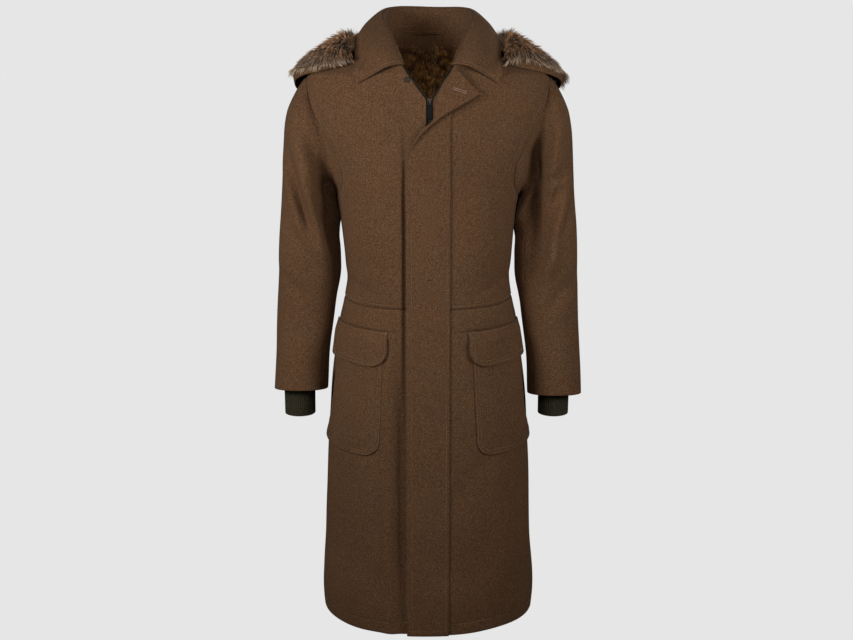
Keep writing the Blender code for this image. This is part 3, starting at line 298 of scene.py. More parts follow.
def smooth(at, knots, values):
    """A value read from a table by a cubic that never overshoots its rows."""
    step = np.diff(knots)
    slope = np.diff(values) / step
    product = slope[:-1] * slope[1:]
    total = slope[:-1] + slope[1:]
    tangent = np.concatenate(([slope[0]], np.zeros(len(product)), [slope[-1]]))
    same_way = product > 0
    tangent[1:-1][same_way] = 2 * product[same_way] / total[same_way]
    at = np.clip(at, knots[0], knots[-1])
    row = np.clip(np.searchsorted(knots, at, side="right") - 1, 0, len(step) - 1)
    t = (at - knots[row]) / step[row]
    rise = values[row + 1] - values[row]
    start = tangent[row] * step[row]
    end = tangent[row + 1] * step[row]
    return values[row] + t * start + t**2 * (3 * rise - 2 * start - end) + t**3 * (start + end - 2 * rise)


def through(points, at):
    """A smooth curve through a short list of points, read at place 0 to the last index."""
    padded = np.concatenate((2 * points[:1] - points[1:2], points, 2 * points[-1:] - points[-2:-1]))
    at = np.clip(at, 0, len(points) - 1)
    index = np.minimum(at.astype(int), len(points) - 2)
    t = (at - index).reshape(at.shape + (1,) * (points.ndim - 1))
    before, here, after, beyond = (padded[index + step] for step in range(4))
    return 0.5 * (2 * here + (after - before) * t + (2 * before - 5 * here + 4 * after - beyond) * t**2
                  + (3 * here - before - 3 * after + beyond) * t**3)


def unit(vectors):
    return vectors / np.maximum(np.linalg.norm(vectors, axis=-1, keepdims=True), 1e-12)


def eased(share):
    """A share from 0 to 1 that starts and ends gently."""
    return share * share * (3 - 2 * share)


def spread(start, end, count):
    """Rows of count values from each start to each end."""
    share = np.linspace(0, 1, count)
    return np.asarray(start)[..., None] * (1 - share) + np.asarray(end)[..., None] * share


def crowd_edges(pair, axis):
    """Adds rows close to both ends of a pair of grids along an axis."""
    pair = np.moveaxis(pair, axis, 0)
    for _ in range(2):
        run = pair[1] - pair[0]
        length = np.maximum(np.linalg.norm(run, axis=-1, keepdims=True), 1e-6)
        shares = [np.minimum(step / length, (index + 1) / (len(EDGE_STEPS) + 1))
                  for index, step in enumerate(EDGE_STEPS)]
        extra = np.stack([pair[0] + run * share for share in shares])
        pair = np.concatenate((pair[:1], extra, pair[1:]))[::-1]
    return np.moveaxis(pair, 0, axis)


def edge_distance(grid, axis):
    """Distance of every point from the nearer end of its row or column."""
    grid = np.moveaxis(grid, axis, 0)
    steps = np.linalg.norm(np.diff(grid, axis=0), axis=-1)
    run = np.concatenate((np.zeros((1, steps.shape[1])), np.cumsum(steps, axis=0)))
    return np.moveaxis(np.minimum(run, run[-1] - run), 0, axis)


def grid_area(grid):
    first = np.cross(grid[1:, :-1] - grid[:-1, :-1], grid[:-1, 1:] - grid[:-1, :-1])
    second = np.cross(grid[1:, :-1] - grid[1:, 1:], grid[:-1, 1:] - grid[1:, 1:])
    return (np.linalg.norm(first, axis=-1).sum() + np.linalg.norm(second, axis=-1).sum()) / 2


def new_mesh_object(name, points, faces, materials=(), face_material=None, rounded=True):
    mesh = bpy.data.meshes.new(name)
    corners = faces.tolist() if isinstance(faces, np.ndarray) else faces
    mesh.from_pydata(np.asarray(points).tolist(), [], corners)
    for material in materials:
        mesh.materials.append(material)
    if face_material is not None:
        mesh.polygons.foreach_set("material_index", np.asarray(face_material, np.int32))
    if rounded:
        mesh.shade_smooth()
    return linked(name, mesh)


def on_coat(piece, node=None):
    """A piece that belongs to the coat's body, and the solid that it stands for."""
    if node:
        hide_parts(node)
    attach(piece, "coat")
    return piece


def grid_faces(rows, columns, ring):
    """Quads of a grid, with the last column joined to the first on a ring."""
    count = columns if ring else columns - 1
    row, column = np.meshgrid(np.arange(rows - 1), np.arange(count), indexing="ij")
    here = (row * columns + column).ravel()
    beside = (row * columns + (column + 1) % columns).ravel()
    return np.stack((here, beside, beside + columns, here + columns), -1)


def rim_edges(rows, columns, ring):
    """Directed edges round the open border of a grid, as its quads run along them."""
    across = np.arange(columns if ring else columns - 1)
    low = np.stack((across, (across + 1) % columns), -1)
    high = (rows - 1) * columns + low[:, ::-1]
    if ring:
        return np.concatenate((low, high))
    up = np.arange(rows - 1) * columns
    left = np.stack((up + columns, up), -1)
    right = np.stack((up, up + columns), -1) + columns - 1
    return np.concatenate((low, high, left, right))


def signed_volume(points, faces):
    first, second, third, fourth = (points[faces[:, corner]] for corner in range(4))
    halves = np.cross(second, third) + np.cross(third, fourth)
    return np.einsum("ij,ij->", first, halves)


def flat_size(grid, ring):
    """Width, length and area that a panel was cut to."""
    if ring:
        grid = np.concatenate((grid, grid[:, :1]), axis=1)
    width = np.linalg.norm(np.diff(grid, axis=1), axis=-1).sum(axis=1).max()
    length = np.linalg.norm(np.diff(grid, axis=0), axis=-1).sum(axis=0).max()
    return width, length, min(grid_area(grid), width * length)


def cloth_wall(node, outer, inner, materials, slot="loden", ring=False, rounding=EDGE_ROUND, solid=True):
    """The finer wall that stands for a solid; materials are for the face that shows and the face behind."""
    FLAT_SIZES[node] = flat_size(outer, ring)
    GRIDS[node] = outer
    pair = crowd_edges(np.stack((outer, inner)), 1)
    if not ring:
        pair = crowd_edges(pair, 2)
    middle = pair.mean(axis=0)
    distance = edge_distance(middle, 0)
    if not ring:
        distance = np.minimum(distance, edge_distance(middle, 1))
    share = np.clip(distance / rounding, 0, 1)
    fullness = np.maximum(np.sqrt(1 - (1 - share) ** 2), EDGE_LEAST)[..., None]
    half = (pair[0] - pair[1]) / 2 * fullness
    outer, inner = middle + half, middle - half
    rows, columns = outer.shape[:2]
    count = rows * columns
    front = grid_faces(rows, columns, ring)
    back = count + front[:, ::-1]
    rim = rim_edges(rows, columns, ring)
    sides = np.stack((rim[:, 1], rim[:, 0], rim[:, 0] + count, rim[:, 1] + count), -1)
    faces = np.concatenate((front, back, sides))
    points = np.concatenate((outer.reshape(-1, 3), inner.reshape(-1, 3)))
    if signed_volume(points, faces) < 0:
        faces = faces[:, ::-1]
    kinds = np.repeat([0, len(materials) - 1, len(materials) - 1], [len(front), len(back), len(sides)])
    piece = new_mesh_object(f"{node}_cloth", points, faces, materials, kinds)
    SHELLS[node] = BVHTree.FromPolygons(points.tolist(), faces[:len(front)].tolist())
    CLOTHS[node] = on_coat(piece, node if solid else None)


# %% [markdown]
# ## Creases
# Worn cloth is never quite even. Broad shallow waves lie all over it, the same for every layer at one place,
# so that flaps and pockets keep to the panel below them. Main creases are drawn as lines in the front view,
# each with its width and depth: a trough that fades at both ends, with a soft ridge along one side.

# %% Creases
CREASE_COLUMNS = "x0 z0 x1 z1 width depth facing"
CREASE_FULLNESS = 1.15
CREASE_FADING = 1.3
CREASE_TURNING = 1.6
BESIDE_HEIGHT = 0.4
BESIDE_PLACE = 1.9
# Broad waves: direction and length of each wave, and its height
WAVES = table(
    "x y z phase height",
    (38.0, 21.0, 9.0, 0.4, 0.00045),
    (-24.0, 33.0, 17.0, 1.9, 0.0005),
    (57.0, -18.0, 30.0, 3.1, 0.0003),
    (11.0, 44.0, -39.0, 4.4, 0.00035),
    (-70.0, 12.0, 22.0, 5.2, 0.00022),
    (19.0, -61.0, 52.0, 0.9, 0.00022),
)


def waves(points):
    total = np.zeros(points.shape[:-1])
    for x, y, z, phase, height in zip(*WAVES.values()):
        total = total + height * np.sin(points @ np.array((x, y, z)) + phase)
    return total


def pressed(points, normals, creases):
    """Depth of creases at points: lines in the front view that mark cloth facing the front, or the back."""
    total = np.zeros(points.shape[:-1])
    place = points[..., (0, 2)]
    for x0, z0, x1, z1, width, depth, facing in zip(*creases.values()):
        start = np.array((x0, z0))
        run = np.array((x1, z1)) - start
        along = (place - start) @ run / (run @ run)
        across = (place - start) @ np.array((-run[1], run[0])) / np.linalg.norm(run)
        fade = eased(np.clip(CREASE_FULLNESS - np.abs(along - 0.5) * CREASE_FADING, 0, 1))
        seen = np.clip(-normals[..., 1] * facing * CREASE_TURNING, 0, 1)
        ridge = BESIDE_HEIGHT * np.exp(-((across / width - BESIDE_PLACE) ** 2))
        total = total + depth * fade * seen * (np.exp(-((across / width) ** 2)) - ridge)
    return total


def worn(outer, inner, creases=None, fade=1.0):
    """Both faces of a wall, moved by the waves and the creases."""
    normals = unit(outer - inner)
    move = waves(outer)
    if creases is not None:
        move = move + pressed(outer, normals, creases) * fade
    move = normals * move[..., None]
    return outer + move, inner + move


print("waves", len(WAVES["x"]))

# %% [markdown]
# ## Body
# The body is six panels: two fronts and a back above the waist seam, two fronts and a back below it. They
# follow one surface, a rounded oval section at each height with a few main folds. A height and an angle round
# the body give a point. The sizes are those of the solids, and only the spacing of the points is finer.

# %% Sizes of the body
WAIST = -0.487
HEM = -1.154
NECK_TOP = -0.001
BODY_ROUNDNESS = 2.3
BODY = table(
    "height half_width front_depth back_depth",
    (-1.175, 0.2185, 0.19, 0.175),
    (-1.115, 0.222, 0.19, 0.176),
    (-0.98, 0.213, 0.184, 0.17),
    (-0.8, 0.207, 0.178, 0.165),
    (-0.66, 0.197, 0.17, 0.16),
    (-0.55, 0.182, 0.16, 0.15),
    (-0.487, 0.169, 0.152, 0.133),
    (-0.45, 0.165, 0.15, 0.13),
    (-0.36, 0.171, 0.15, 0.136),
    (-0.285, 0.181, 0.15, 0.145),
    (-0.2, 0.207, 0.148, 0.145),
    (-0.14, 0.232, 0.138, 0.135),
    (-0.1, 0.2395, 0.128, 0.125),
    (-0.046, 0.234, 0.117, 0.102),
    (-0.03, 0.184, 0.111, 0.094),
    (-0.01, 0.115, 0.101, 0.081),
    (-0.001, 0.083, 0.097, 0.074),
    (0.012, 0.07, 0.092, 0.068),
)
BODY_FOLDS = table(
    "angle height angle_span height_span depth",
    (-21.0, -0.86, 10.0, 0.25, -0.006),
    (-38.0, -0.9, 11.0, 0.26, 0.003),
    (32.0, -0.98, 11.0, 0.2, -0.004),
    (68.0, -1.0, 14.0, 0.2, 0.006),
    (-68.0, -0.98, 14.0, 0.21, 0.005),
    (118.0, -0.9, 16.0, 0.26, -0.007),
    (150.0, -0.96, 14.0, 0.24, 0.007),
    (205.0, -0.93, 15.0, 0.25, -0.006),
    (238.0, -0.98, 15.0, 0.23, 0.007),
    (70.0, -0.44, 22.0, 0.018, -0.0025),
    (-72.0, -0.448, 22.0, 0.02, -0.003),
    (160.0, -0.4, 40.0, 0.03, -0.0035),
    (205.0, -0.43, 35.0, 0.03, 0.003),
)
ARMHOLE_POINTS = np.array((
    (-0.285, 0.0, 0.0),
    (-0.281, 0.032, 0.034),
    (-0.272, 0.058, 0.062),
    (-0.255, 0.08, 0.086),
    (-0.23, 0.09, 0.098),
    (-0.2, 0.09, 0.1),
    (-0.165, 0.081, 0.092),
    (-0.13, 0.066, 0.077),
    (-0.0885, 0.042, 0.05),
    (-0.066, 0.026, 0.03),
    (-0.046, 0.0, 0.0),
))
FINER = 4
ARMHOLE_ROWS = FINER * (len(ARMHOLE_POINTS) - 1) + 1
armhole_steps = np.linspace(0, len(ARMHOLE_POINTS) - 1, ARMHOLE_ROWS)
ARMHOLE = dict(zip(("height", "front", "back"), through(ARMHOLE_POINTS, armhole_steps).T))
ZIP_MIDDLE = 0.003
ZIP_EDGE = 0.0065
SLIDER_HEIGHT = -0.0885
NECK_FRONT = -0.026
NECKLINE = table(
    "height half_opening",
    (-0.0885, 0.0065),
    (-0.062, 0.025),
    (-0.04, 0.04),
    (-0.026, 0.049),
    (-0.018, 0.06),
    (-0.01, 0.07),
    (-0.004, 0.077),
    (-0.001, 0.081),
)
CLEAR_STEPS = 4
CLEAR_MOST = 0.02


def body_section(height):
    names = ("half_width", "front_depth", "back_depth")
    return [smooth(height, BODY["height"], BODY[name]) for name in names]


def oval(wide, deep, roundness=BODY_ROUNDNESS):
    """Size of a place against a rounded oval of unit half axes: 1 on it and more outside."""
    return (np.abs(wide) ** roundness + np.abs(deep) ** roundness) ** (1 / roundness)


def oval_partner(share):
    """The share of one half axis of the body's oval that goes with a share of the other."""
    return (1 - np.abs(share) ** BODY_ROUNDNESS) ** (1 / BODY_ROUNDNESS)


def turn_from(middle, angle):
    """Degrees from a middle to an angle, the shorter way round."""
    return (np.degrees(angle) - middle + 180) % 360 - 180


def body_fold(angle, height):
    total = np.zeros(np.shape(angle))
    for middle, level, angle_span, height_span, depth in zip(*BODY_FOLDS.values()):
        turn = turn_from(middle, angle) / angle_span
        total = total + depth * np.exp(-(turn**2) - ((height - level) / height_span) ** 2)
    return total


def body_surface(angle, height):
    """Outer point of the body: angle 0 is the front, SIDE is +X and two of them the back."""
    angle, height = np.broadcast_arrays(np.asarray(angle, float), np.asarray(height, float))
    half_width, front, back = body_section(height)
    across, along = np.sin(angle), np.cos(angle)
    depth = np.where(along > 0, front, back)
    reach = (1 + body_fold(angle, height) / half_width) / oval(across, along)
    return np.stack((half_width * reach * across, -depth * reach * along, height), -1)


def body_normal(angle, height):
    step = 5e-4
    round_way = body_surface(angle + step, height) - body_surface(angle - step, height)
    up_way = body_surface(angle, height + step) - body_surface(angle, height - step)
    return unit(np.cross(round_way, up_way))


def off_body(angle, height, distance):
    """Body points moved out along the normal."""
    return body_surface(angle, height) + body_normal(angle, height) * np.asarray(distance)[..., None]


def layers(angles, heights, *distances):
    """Grids over rows of the body, one for each distance off it."""
    return [off_body(angles, heights[:, None], distance) for distance in distances]


def front_angle(x, height):
    """The angle at which the body's front has a given x."""
    across = np.clip(x / smooth(height, BODY["height"], BODY["half_width"]), -0.9999, 0.9999)
    return np.arctan2(across, oval_partner(across))


def depth_angle(depth, height, back):
    """The +X side angle at which the body lies a given depth in front of or behind the middle."""
    _, front_depth, back_depth = body_section(height)
    along = np.clip(depth / (back_depth if back else front_depth), 0, 0.9999)
    return np.arctan2(oval_partner(along), -along if back else along)


def clear_of_body(points, clearance):
    """Points that lie too close to the body, moved out until they clear it."""
    def outside(at):
        half_width, front, back = body_section(at[..., 2])
        return oval(at[..., 0] / half_width, at[..., 1] / np.where(at[..., 1] < 0, front, back)) - 1

    step = 1e-4
    for _ in range(CLEAR_STEPS):
        level = outside(points)
        slope = np.stack([(outside(points + step * axis) - level) / step for axis in np.eye(3)], -1)
        size = np.linalg.norm(slope, axis=-1)
        lack = np.clip(clearance - level / size, 0, CLEAR_MOST)
        points = points + slope / size[..., None] * lack[..., None]
    return points


def mirrored(points, side):
    return points * np.array((side, 1.0, 1.0))


print("armhole rows", ARMHOLE_ROWS)


# %% Sleeve frame and armhole seam
SLEEVE_ROUNDNESS = 2.15
SLEEVE = table(
    "outer_x outer_z inner_x inner_z front back",
    (0.234, -0.046, 0.181, -0.285, 0.09, 0.1),
    (0.269, -0.095, 0.1838, -0.291, 0.092, 0.1),
    (0.283, -0.155, 0.1836, -0.303, 0.091, 0.096),
    (0.2885, -0.235, 0.1806, -0.335, 0.086, 0.085),
    (0.2935, -0.31, 0.1765, -0.375, 0.083, 0.075),
    (0.2995, -0.4, 0.1752, -0.43, 0.08, 0.062),
    (0.3025, -0.475, 0.183, -0.485, 0.078, 0.052),
    (0.306, -0.55, 0.1935, -0.55, 0.075, 0.042),
    (0.3105, -0.62, 0.2015, -0.62, 0.075, 0.034),
    (0.3148, -0.686, 0.2055, -0.686, 0.075, 0.03),
)
SLEEVE_DROP = {"left": 0.0055, "right": -0.005}


def sleeve_frame(share, drop):
    """Middle, half width vector and depth of the +X sleeve's section at a share of its length."""
    rows = np.linspace(0, 1, len(SLEEVE["front"]))
    read = {name: smooth(share, rows, values) for name, values in SLEEVE.items()}
    fall = drop * np.asarray(share) ** 2
    outer = np.stack((read["outer_x"], np.zeros_like(share), read["outer_z"] + fall), -1)
    inner = np.stack((read["inner_x"], np.zeros_like(share), read["inner_z"] + fall), -1)
    middle = (outer + inner) / 2
    middle[..., 1] = (read["back"] - read["front"]) / 2
    return middle, (outer - inner) / 2, (read["back"] + read["front"]) / 2


def armhole_seam():
    """Points, mitre normals and sleeve-section angles of the seam that body and sleeve share."""
    heights = ARMHOLE["height"][::-1]
    front = depth_angle(ARMHOLE["front"][::-1], heights, back=False)
    back = depth_angle(ARMHOLE["back"], ARMHOLE["height"], back=True)
    turns = np.concatenate((front, back[1:-1]))
    levels = np.concatenate((heights, ARMHOLE["height"][1:-1]))
    points, normals = body_surface(turns, levels), body_normal(turns, levels)
    middle, half, depth = sleeve_frame(np.zeros(1), 0.0)
    from_middle = points - middle[0]
    along = from_middle @ unit(half[0]) / np.linalg.norm(half[0])
    across = -from_middle[:, 1] / depth[0]
    angles = np.unwrap(np.arctan2(across, along))
    angles = angles - angles[0]
    radial = np.cos(angles)[:, None] * unit(half[0]) - np.sin(angles)[:, None] * np.array((0.0, 1.0, 0.0))
    return points, unit(normals + radial), angles


SEAM_POINTS, SEAM_MITRE, SEAM_ANGLES = armhole_seam()
print("armhole seam points", len(SEAM_POINTS))

# %% Body panels
FRONT_UPPER_COLUMNS = 100
FRONT_SKIRT_COLUMNS = 110
BACK_UPPER_COLUMNS = 73
BACK_SKIRT_COLUMNS = 81
SIDE_ROWS = 34
SHOULDER_ROWS = 32
SKIRT_ROWS = 92
WAIST_STITCH = 0.008
HEM_STITCH = 0.025
GROOVE_WIDTH = 0.0013
GROOVE_DEPTH = 0.0006
SEAM_WIDTH = 0.0026
SEAM_DEPTH = 0.0024
FLAP_UPPER = -0.531
GROOVE_ROWS = np.array((-0.0026, -0.0013, 0.0, 0.0013, 0.0026))

BODY_CREASES = table(
    CREASE_COLUMNS,
    (-0.165, -0.44, -0.1, -0.462, 0.006, -0.0022, 1),
    (-0.168, -0.462, -0.118, -0.47, 0.0045, -0.0016, 1),
    (0.165, -0.436, 0.105, -0.455, 0.006, -0.002, 1),
    (0.17, -0.462, 0.128, -0.472, 0.0045, -0.0016, 1),
    (-0.18, -0.54, -0.15, -0.512, 0.006, -0.0016, 1),
    (0.178, -0.53, 0.15, -0.508, 0.006, -0.0014, 1),
    (0.055, -0.86, 0.15, -0.76, 0.018, -0.0014, 1),
    (-0.15, -0.98, -0.08, -1.08, 0.02, -0.0016, 1),
    (0.07, -1.0, 0.11, -1.11, 0.02, -0.0016, 1),
    (-0.115, -0.12, -0.16, -0.26, 0.016, -0.0018, 1),
    (0.12, -0.12, 0.165, -0.26, 0.016, -0.0018, 1),
    (-0.178, -0.531, -0.076, -0.531, 0.0026, -0.0042, 1),
    (0.076, -0.531, 0.178, -0.531, 0.0026, -0.0042, 1),
    (-0.15, -0.44, 0.06, -0.452, 0.008, -0.0026, -1),
    (-0.06, -0.42, 0.14, -0.432, 0.009, -0.0024, -1),
    (-0.13, -0.4, -0.02, -0.39, 0.009, -0.0018, -1),
    (-0.11, -0.52, -0.06, -0.76, 0.016, -0.0026, -1),
    (0.08, -0.53, 0.12, -0.8, 0.017, -0.0026, -1),
    (0.01, -0.62, -0.01, -0.98, 0.018, -0.0022, -1),
    (0.15, -0.16, 0.12, -0.3, 0.016, -0.0022, -1),
    (-0.15, -0.16, -0.125, -0.3, 0.016, -0.0022, -1),
)
# The left front sinks away beside the edge of the storm flap
FLY_TROUGH = table(
    CREASE_COLUMNS,
    (-0.051, -1.13, -0.051, -0.6, 0.015, -0.013, 1),
    (-0.0445, -1.16, -0.0445, -0.6, 0.0042, -0.0024, 1),
    (-0.0445, -0.62, -0.0445, -0.15, 0.0042, -0.006, 1),
    (-0.05, -0.56, -0.047, -0.17, 0.011, -0.003, 1),
)


def joined(*tables):
    return {name: np.concatenate([part[name] for part in tables]) for name in tables[0]}


def seam_angle(height):
    """Half a seam's gap as an angle at the side of the body."""
    return SEAM_GAP / 2 / smooth(height, BODY["height"], BODY["half_width"])


def front_edge(height, side):
    """x of a front panel's own edge: beside the zip, then along the open neck."""
    opening = smooth(height, NECKLINE["height"], NECKLINE["half_opening"])
    opening = np.where(height < SLIDER_HEIGHT, ZIP_EDGE, opening)
    shift = ZIP_MIDDLE * np.clip((NECK_FRONT - height) / (NECK_FRONT - SLIDER_HEIGHT), 0, 1)
    return shift + side * opening


def outer_edge(height, back):
    """Angle of the +X panel edge at each height: side seam, armhole, then shoulder seam."""
    turn = 1.0 if back else -1.0
    edge = SIDE + turn * seam_angle(height)
    depth = ARMHOLE["back"] if back else ARMHOLE["front"]
    for level, reach in zip(ARMHOLE["height"][1:-1], depth[1:-1]):
        edge = np.where(np.isclose(height, level), depth_angle(reach, height, back), edge)
    return edge


def upper_rows():
    """Heights of the rows of the upper panels, crowded at the waist stitch."""
    side = np.linspace(WAIST + SEAM_GAP / 2, ARMHOLE["height"][0], SIDE_ROWS)[:-1]
    stitched = WAIST + WAIST_STITCH + GROOVE_ROWS
    shoulder = np.linspace(ARMHOLE["height"][-1], NECK_TOP, SHOULDER_ROWS)[1:]
    return np.unique(np.concatenate((side, stitched, ARMHOLE["height"], shoulder)))


def skirt_rows():
    """Heights of the rows of the skirt panels, crowded at the hem stitch and the pocket flaps' top."""
    even = np.linspace(HEM, WAIST - SEAM_GAP / 2, SKIRT_ROWS)
    return np.unique(np.concatenate((even, HEM + HEM_STITCH + GROOVE_ROWS, FLAP_UPPER + GROOVE_ROWS)))


def grooves(height):
    """Depth of the lines of sewing that press into the panels."""
    total = np.zeros(np.shape(height))
    for level in (WAIST + WAIST_STITCH, HEM + HEM_STITCH):
        total = total - GROOVE_DEPTH * np.exp(-((height - level) / GROOVE_WIDTH) ** 2)
    return total - SEAM_DEPTH * np.exp(-((height - WAIST) / SEAM_WIDTH) ** 2)


def seat_armhole(outer, inner, heights, column, side, back):
    """Puts the armhole rows of a panel's edge column on the mitred seam that the sleeve shares."""
    rows = ARMHOLE_ROWS
    parting = np.array((0.0, SEAM_GAP / 2 if back else -SEAM_GAP / 2, 0.0))
    for index, level in enumerate(ARMHOLE["height"]):
        row = int(np.argmin(np.abs(heights - level)))
        place = (rows - 1 + index) % (2 * rows - 2) if back else rows - 1 - index
        at_end = index in (0, rows - 1)
        point = SEAM_POINTS[place] + (parting if at_end else 0.0)
        outer[row, column] = mirrored(point, side)
        inner[row, column] = mirrored(point - SEAM_MITRE[place] * CLOTH, side)


def body_panel(node, heights, start, end, columns, armholes=(), creases=BODY_CREASES):
    """One body panel between two edges, given by their angles at each height."""
    outer, inner = layers(spread(start, end, columns), heights, 0.0, -CLOTH)
    for column, side, back in armholes:
        seat_armhole(outer, inner, heights, column, side, back)
    pressed_in = unit(outer - inner) * grooves(heights)[:, None, None]
    cloth_wall(node, *worn(outer + pressed_in, inner + pressed_in, creases), [LODEN])


upper, skirt = upper_rows(), skirt_rows()
for name, side in SIDES.items():
    creases = joined(BODY_CREASES, FLY_TROUGH) if name == "left" else BODY_CREASES
    armhole = ((-1, side, False),)
    for part, heights, columns, armholes in (("front_upper", upper, FRONT_UPPER_COLUMNS, armhole),
                                             ("front_skirt", skirt, FRONT_SKIRT_COLUMNS, ())):
        start = front_angle(front_edge(heights, side), heights)
        end = side * outer_edge(heights, back=False)
        body_panel(f"{part}_{name}", heights, start, end, columns, armholes, creases)
back_armholes = ((0, 1.0, True), (-1, -1.0, True))
for part, heights, columns, armholes in (("back_upper", upper, BACK_UPPER_COLUMNS, back_armholes),
                                         ("back_skirt", skirt, BACK_SKIRT_COLUMNS, ())):
    start = outer_edge(heights, back=True)
    body_panel(part, heights, start, 4 * SIDE - start, columns, armholes)
print("body panels", len(SHELLS))

# %% [markdown]
# ## Sleeves
# Each sleeve is cut in two pieces, one over the outside of the arm and one next to the body. Both are parts
# of one tube whose first ring is the armhole seam. The arms hang, so the cloth breaks into slanting folds
# below the armhole and at the elbow, and the two sleeves break differently. The fronts of the hems are drawn
# up a little, the inner sides are full, the right one more, and what would touch the body is moved off it.

# %% Sleeves
SLEEVE_RINGS = 100
SLEEVE_CAP_SHARE = 0.16
SLEEVE_SETTLE_SHARE = 0.5
SLEEVE_CROWDING = 0.9
SLEEVE_FRONT_SEAM = 8 * FINER
SLEEVE_BACK_SEAM = 14 * FINER
CREASE_FADE_SHARE = 0.07
HEM_RISE = 0.0085
HEM_RISE_POWER = 8
SLEEVE_WAY = np.array((1.0, 0.0, -0.3))
INNER_PRESS = {"left": 0.0, "right": 0.0085}
PRESS_SHARE = 0.3
PRESS_SPAN = 0.14
SLEEVE_FOLDS = table(
    "along angle along_span angle_span depth lean",
    (0.3, 120.0, 0.05, 60.0, -0.006, 0.0012),
    (0.4, 150.0, 0.04, 55.0, -0.0045, 0.001),
    (0.36, 70.0, 0.045, 50.0, -0.0035, 0.001),
    (0.5, 110.0, 0.05, 60.0, 0.0035, -0.0008),
    (0.62, 250.0, 0.05, 60.0, -0.005, -0.001),
    (0.72, 290.0, 0.05, 60.0, 0.0035, 0.001),
    (0.27, 178.0, 0.11, 50.0, 0.011, 0.0),
)
SLEEVE_CREASES = {
    "left": table(
        CREASE_COLUMNS,
        (-0.238, -0.15, -0.19, -0.27, 0.011, -0.008, 1),
        (-0.172, -0.385, -0.204, -0.15, 0.022, -0.027, 1),
        (-0.274, -0.19, -0.226, -0.365, 0.01, -0.0175, 1),
        (-0.29, -0.185, -0.246, -0.355, 0.01, 0.007, 1),
        (-0.21, -0.255, -0.184, -0.308, 0.008, -0.0075, 1),
        (-0.214, -0.295, -0.182, -0.39, 0.01, -0.0085, 1),
        (-0.262, -0.345, -0.218, -0.42, 0.011, -0.008, 1),
        (-0.3, -0.43, -0.25, -0.47, 0.011, -0.004, 1),
        (-0.235, -0.52, -0.225, -0.64, 0.013, -0.0016, 1),
        (-0.29, -0.25, -0.21, -0.33, 0.011, -0.0034, -1),
        (-0.295, -0.36, -0.2, -0.4, 0.01, -0.004, -1),
        (-0.3, -0.44, -0.215, -0.42, 0.01, -0.0036, -1),
        (-0.28, -0.52, -0.225, -0.6, 0.012, -0.002, -1),
    ),
    "right": table(
        CREASE_COLUMNS,
        (0.252, -0.24, 0.222, -0.39, 0.011, -0.017, 1),
        (0.214, -0.16, 0.2, -0.41, 0.018, -0.044, 1),
        (0.268, -0.245, 0.24, -0.4, 0.011, 0.006, 1),
        (0.226, -0.15, 0.188, -0.3, 0.012, -0.011, 1),
        (0.266, -0.228, 0.226, -0.25, 0.008, -0.0075, 1),
        (0.262, -0.33, 0.21, -0.43, 0.012, -0.0085, 1),
        (0.29, -0.44, 0.24, -0.5, 0.012, -0.004, 1),
        (0.24, -0.56, 0.226, -0.66, 0.013, -0.0014, 1),
        (0.285, -0.24, 0.205, -0.31, 0.011, -0.0036, -1),
        (0.295, -0.35, 0.195, -0.38, 0.01, -0.004, -1),
        (0.29, -0.47, 0.215, -0.43, 0.01, -0.0034, -1),
        (0.285, -0.56, 0.23, -0.63, 0.012, -0.002, -1),
    ),
}


def sleeve_fold(share, angle):
    total = np.zeros(np.broadcast(share, angle).shape)
    for along, middle, along_span, angle_span, depth, lean in zip(*SLEEVE_FOLDS.values()):
        turn = turn_from(middle, angle)
        slide = share - along - lean * turn
        total = total + depth * np.exp(-((slide / along_span) ** 2) - (turn / angle_span) ** 2)
    return total


def sleeve_surface(share, angle, drop, inset):
    """Points of the plain +X sleeve tube, set in by a distance."""
    middle, half, depth = sleeve_frame(share, drop)
    along, across = np.cos(angle), np.sin(angle)
    reach = 1 / oval(along, across, SLEEVE_ROUNDNESS)
    size = sleeve_fold(share, angle) - inset
    wide = (np.linalg.norm(half, axis=-1) + size) * reach * along
    deep = (depth + size) * reach * across
    return middle + unit(half) * wide[..., None] - np.array((0.0, 1.0, 0.0)) * deep[..., None]


def sleeve_walls(name, side):
    """Outer and inner grids of a whole sleeve; the first ring is the armhole seam."""
    share = np.linspace(0, 1, SLEEVE_RINGS)[:, None] ** SLEEVE_CROWDING
    cap = eased(np.clip(share / SLEEVE_CAP_SHARE, 0, 1))[..., None]
    around = np.roll(SEAM_POINTS, -1, axis=0) - np.roll(SEAM_POINTS, 1, axis=0)
    away = unit(np.cross(SEAM_MITRE, around))
    away = away * np.sign(away @ SLEEVE_WAY)[:, None]
    first_outer = SEAM_POINTS + away * SEAM_GAP
    first_inner = first_outer - SEAM_MITRE * CLOTH
    even = np.linspace(0, 2 * math.pi, len(SEAM_ANGLES), endpoint=False)
    settle = np.clip(share / SLEEVE_SETTLE_SHARE, 0, 1)
    grid_angle = SEAM_ANGLES + (even - SEAM_ANGLES) * settle
    grid_share = np.broadcast_to(share, grid_angle.shape)
    press = INNER_PRESS[name] * np.exp(-(((grid_share - PRESS_SHARE) / PRESS_SPAN) ** 2))
    walls = []
    for first, inset in ((first_outer, 0.0), (first_inner, CLOTH)):
        tube = sleeve_surface(grid_share, grid_angle, SLEEVE_DROP[name], inset)
        tube[..., 2] += HEM_RISE * grid_share**HEM_RISE_POWER * np.clip(np.sin(grid_angle), 0, 1)
        tube[..., 0] -= press * np.clip(-np.cos(grid_angle), 0, 1)
        walls.append(mirrored(first[None] * (1 - cap) + tube * cap, side))
    fade = np.clip(grid_share / CREASE_FADE_SHARE, 0, 1)
    outer, inner = worn(*walls, SLEEVE_CREASES[name], eased(fade))
    lift = (clear_of_body(outer, LAY_GAP) - outer) * fade[..., None]
    return outer + lift, inner + lift


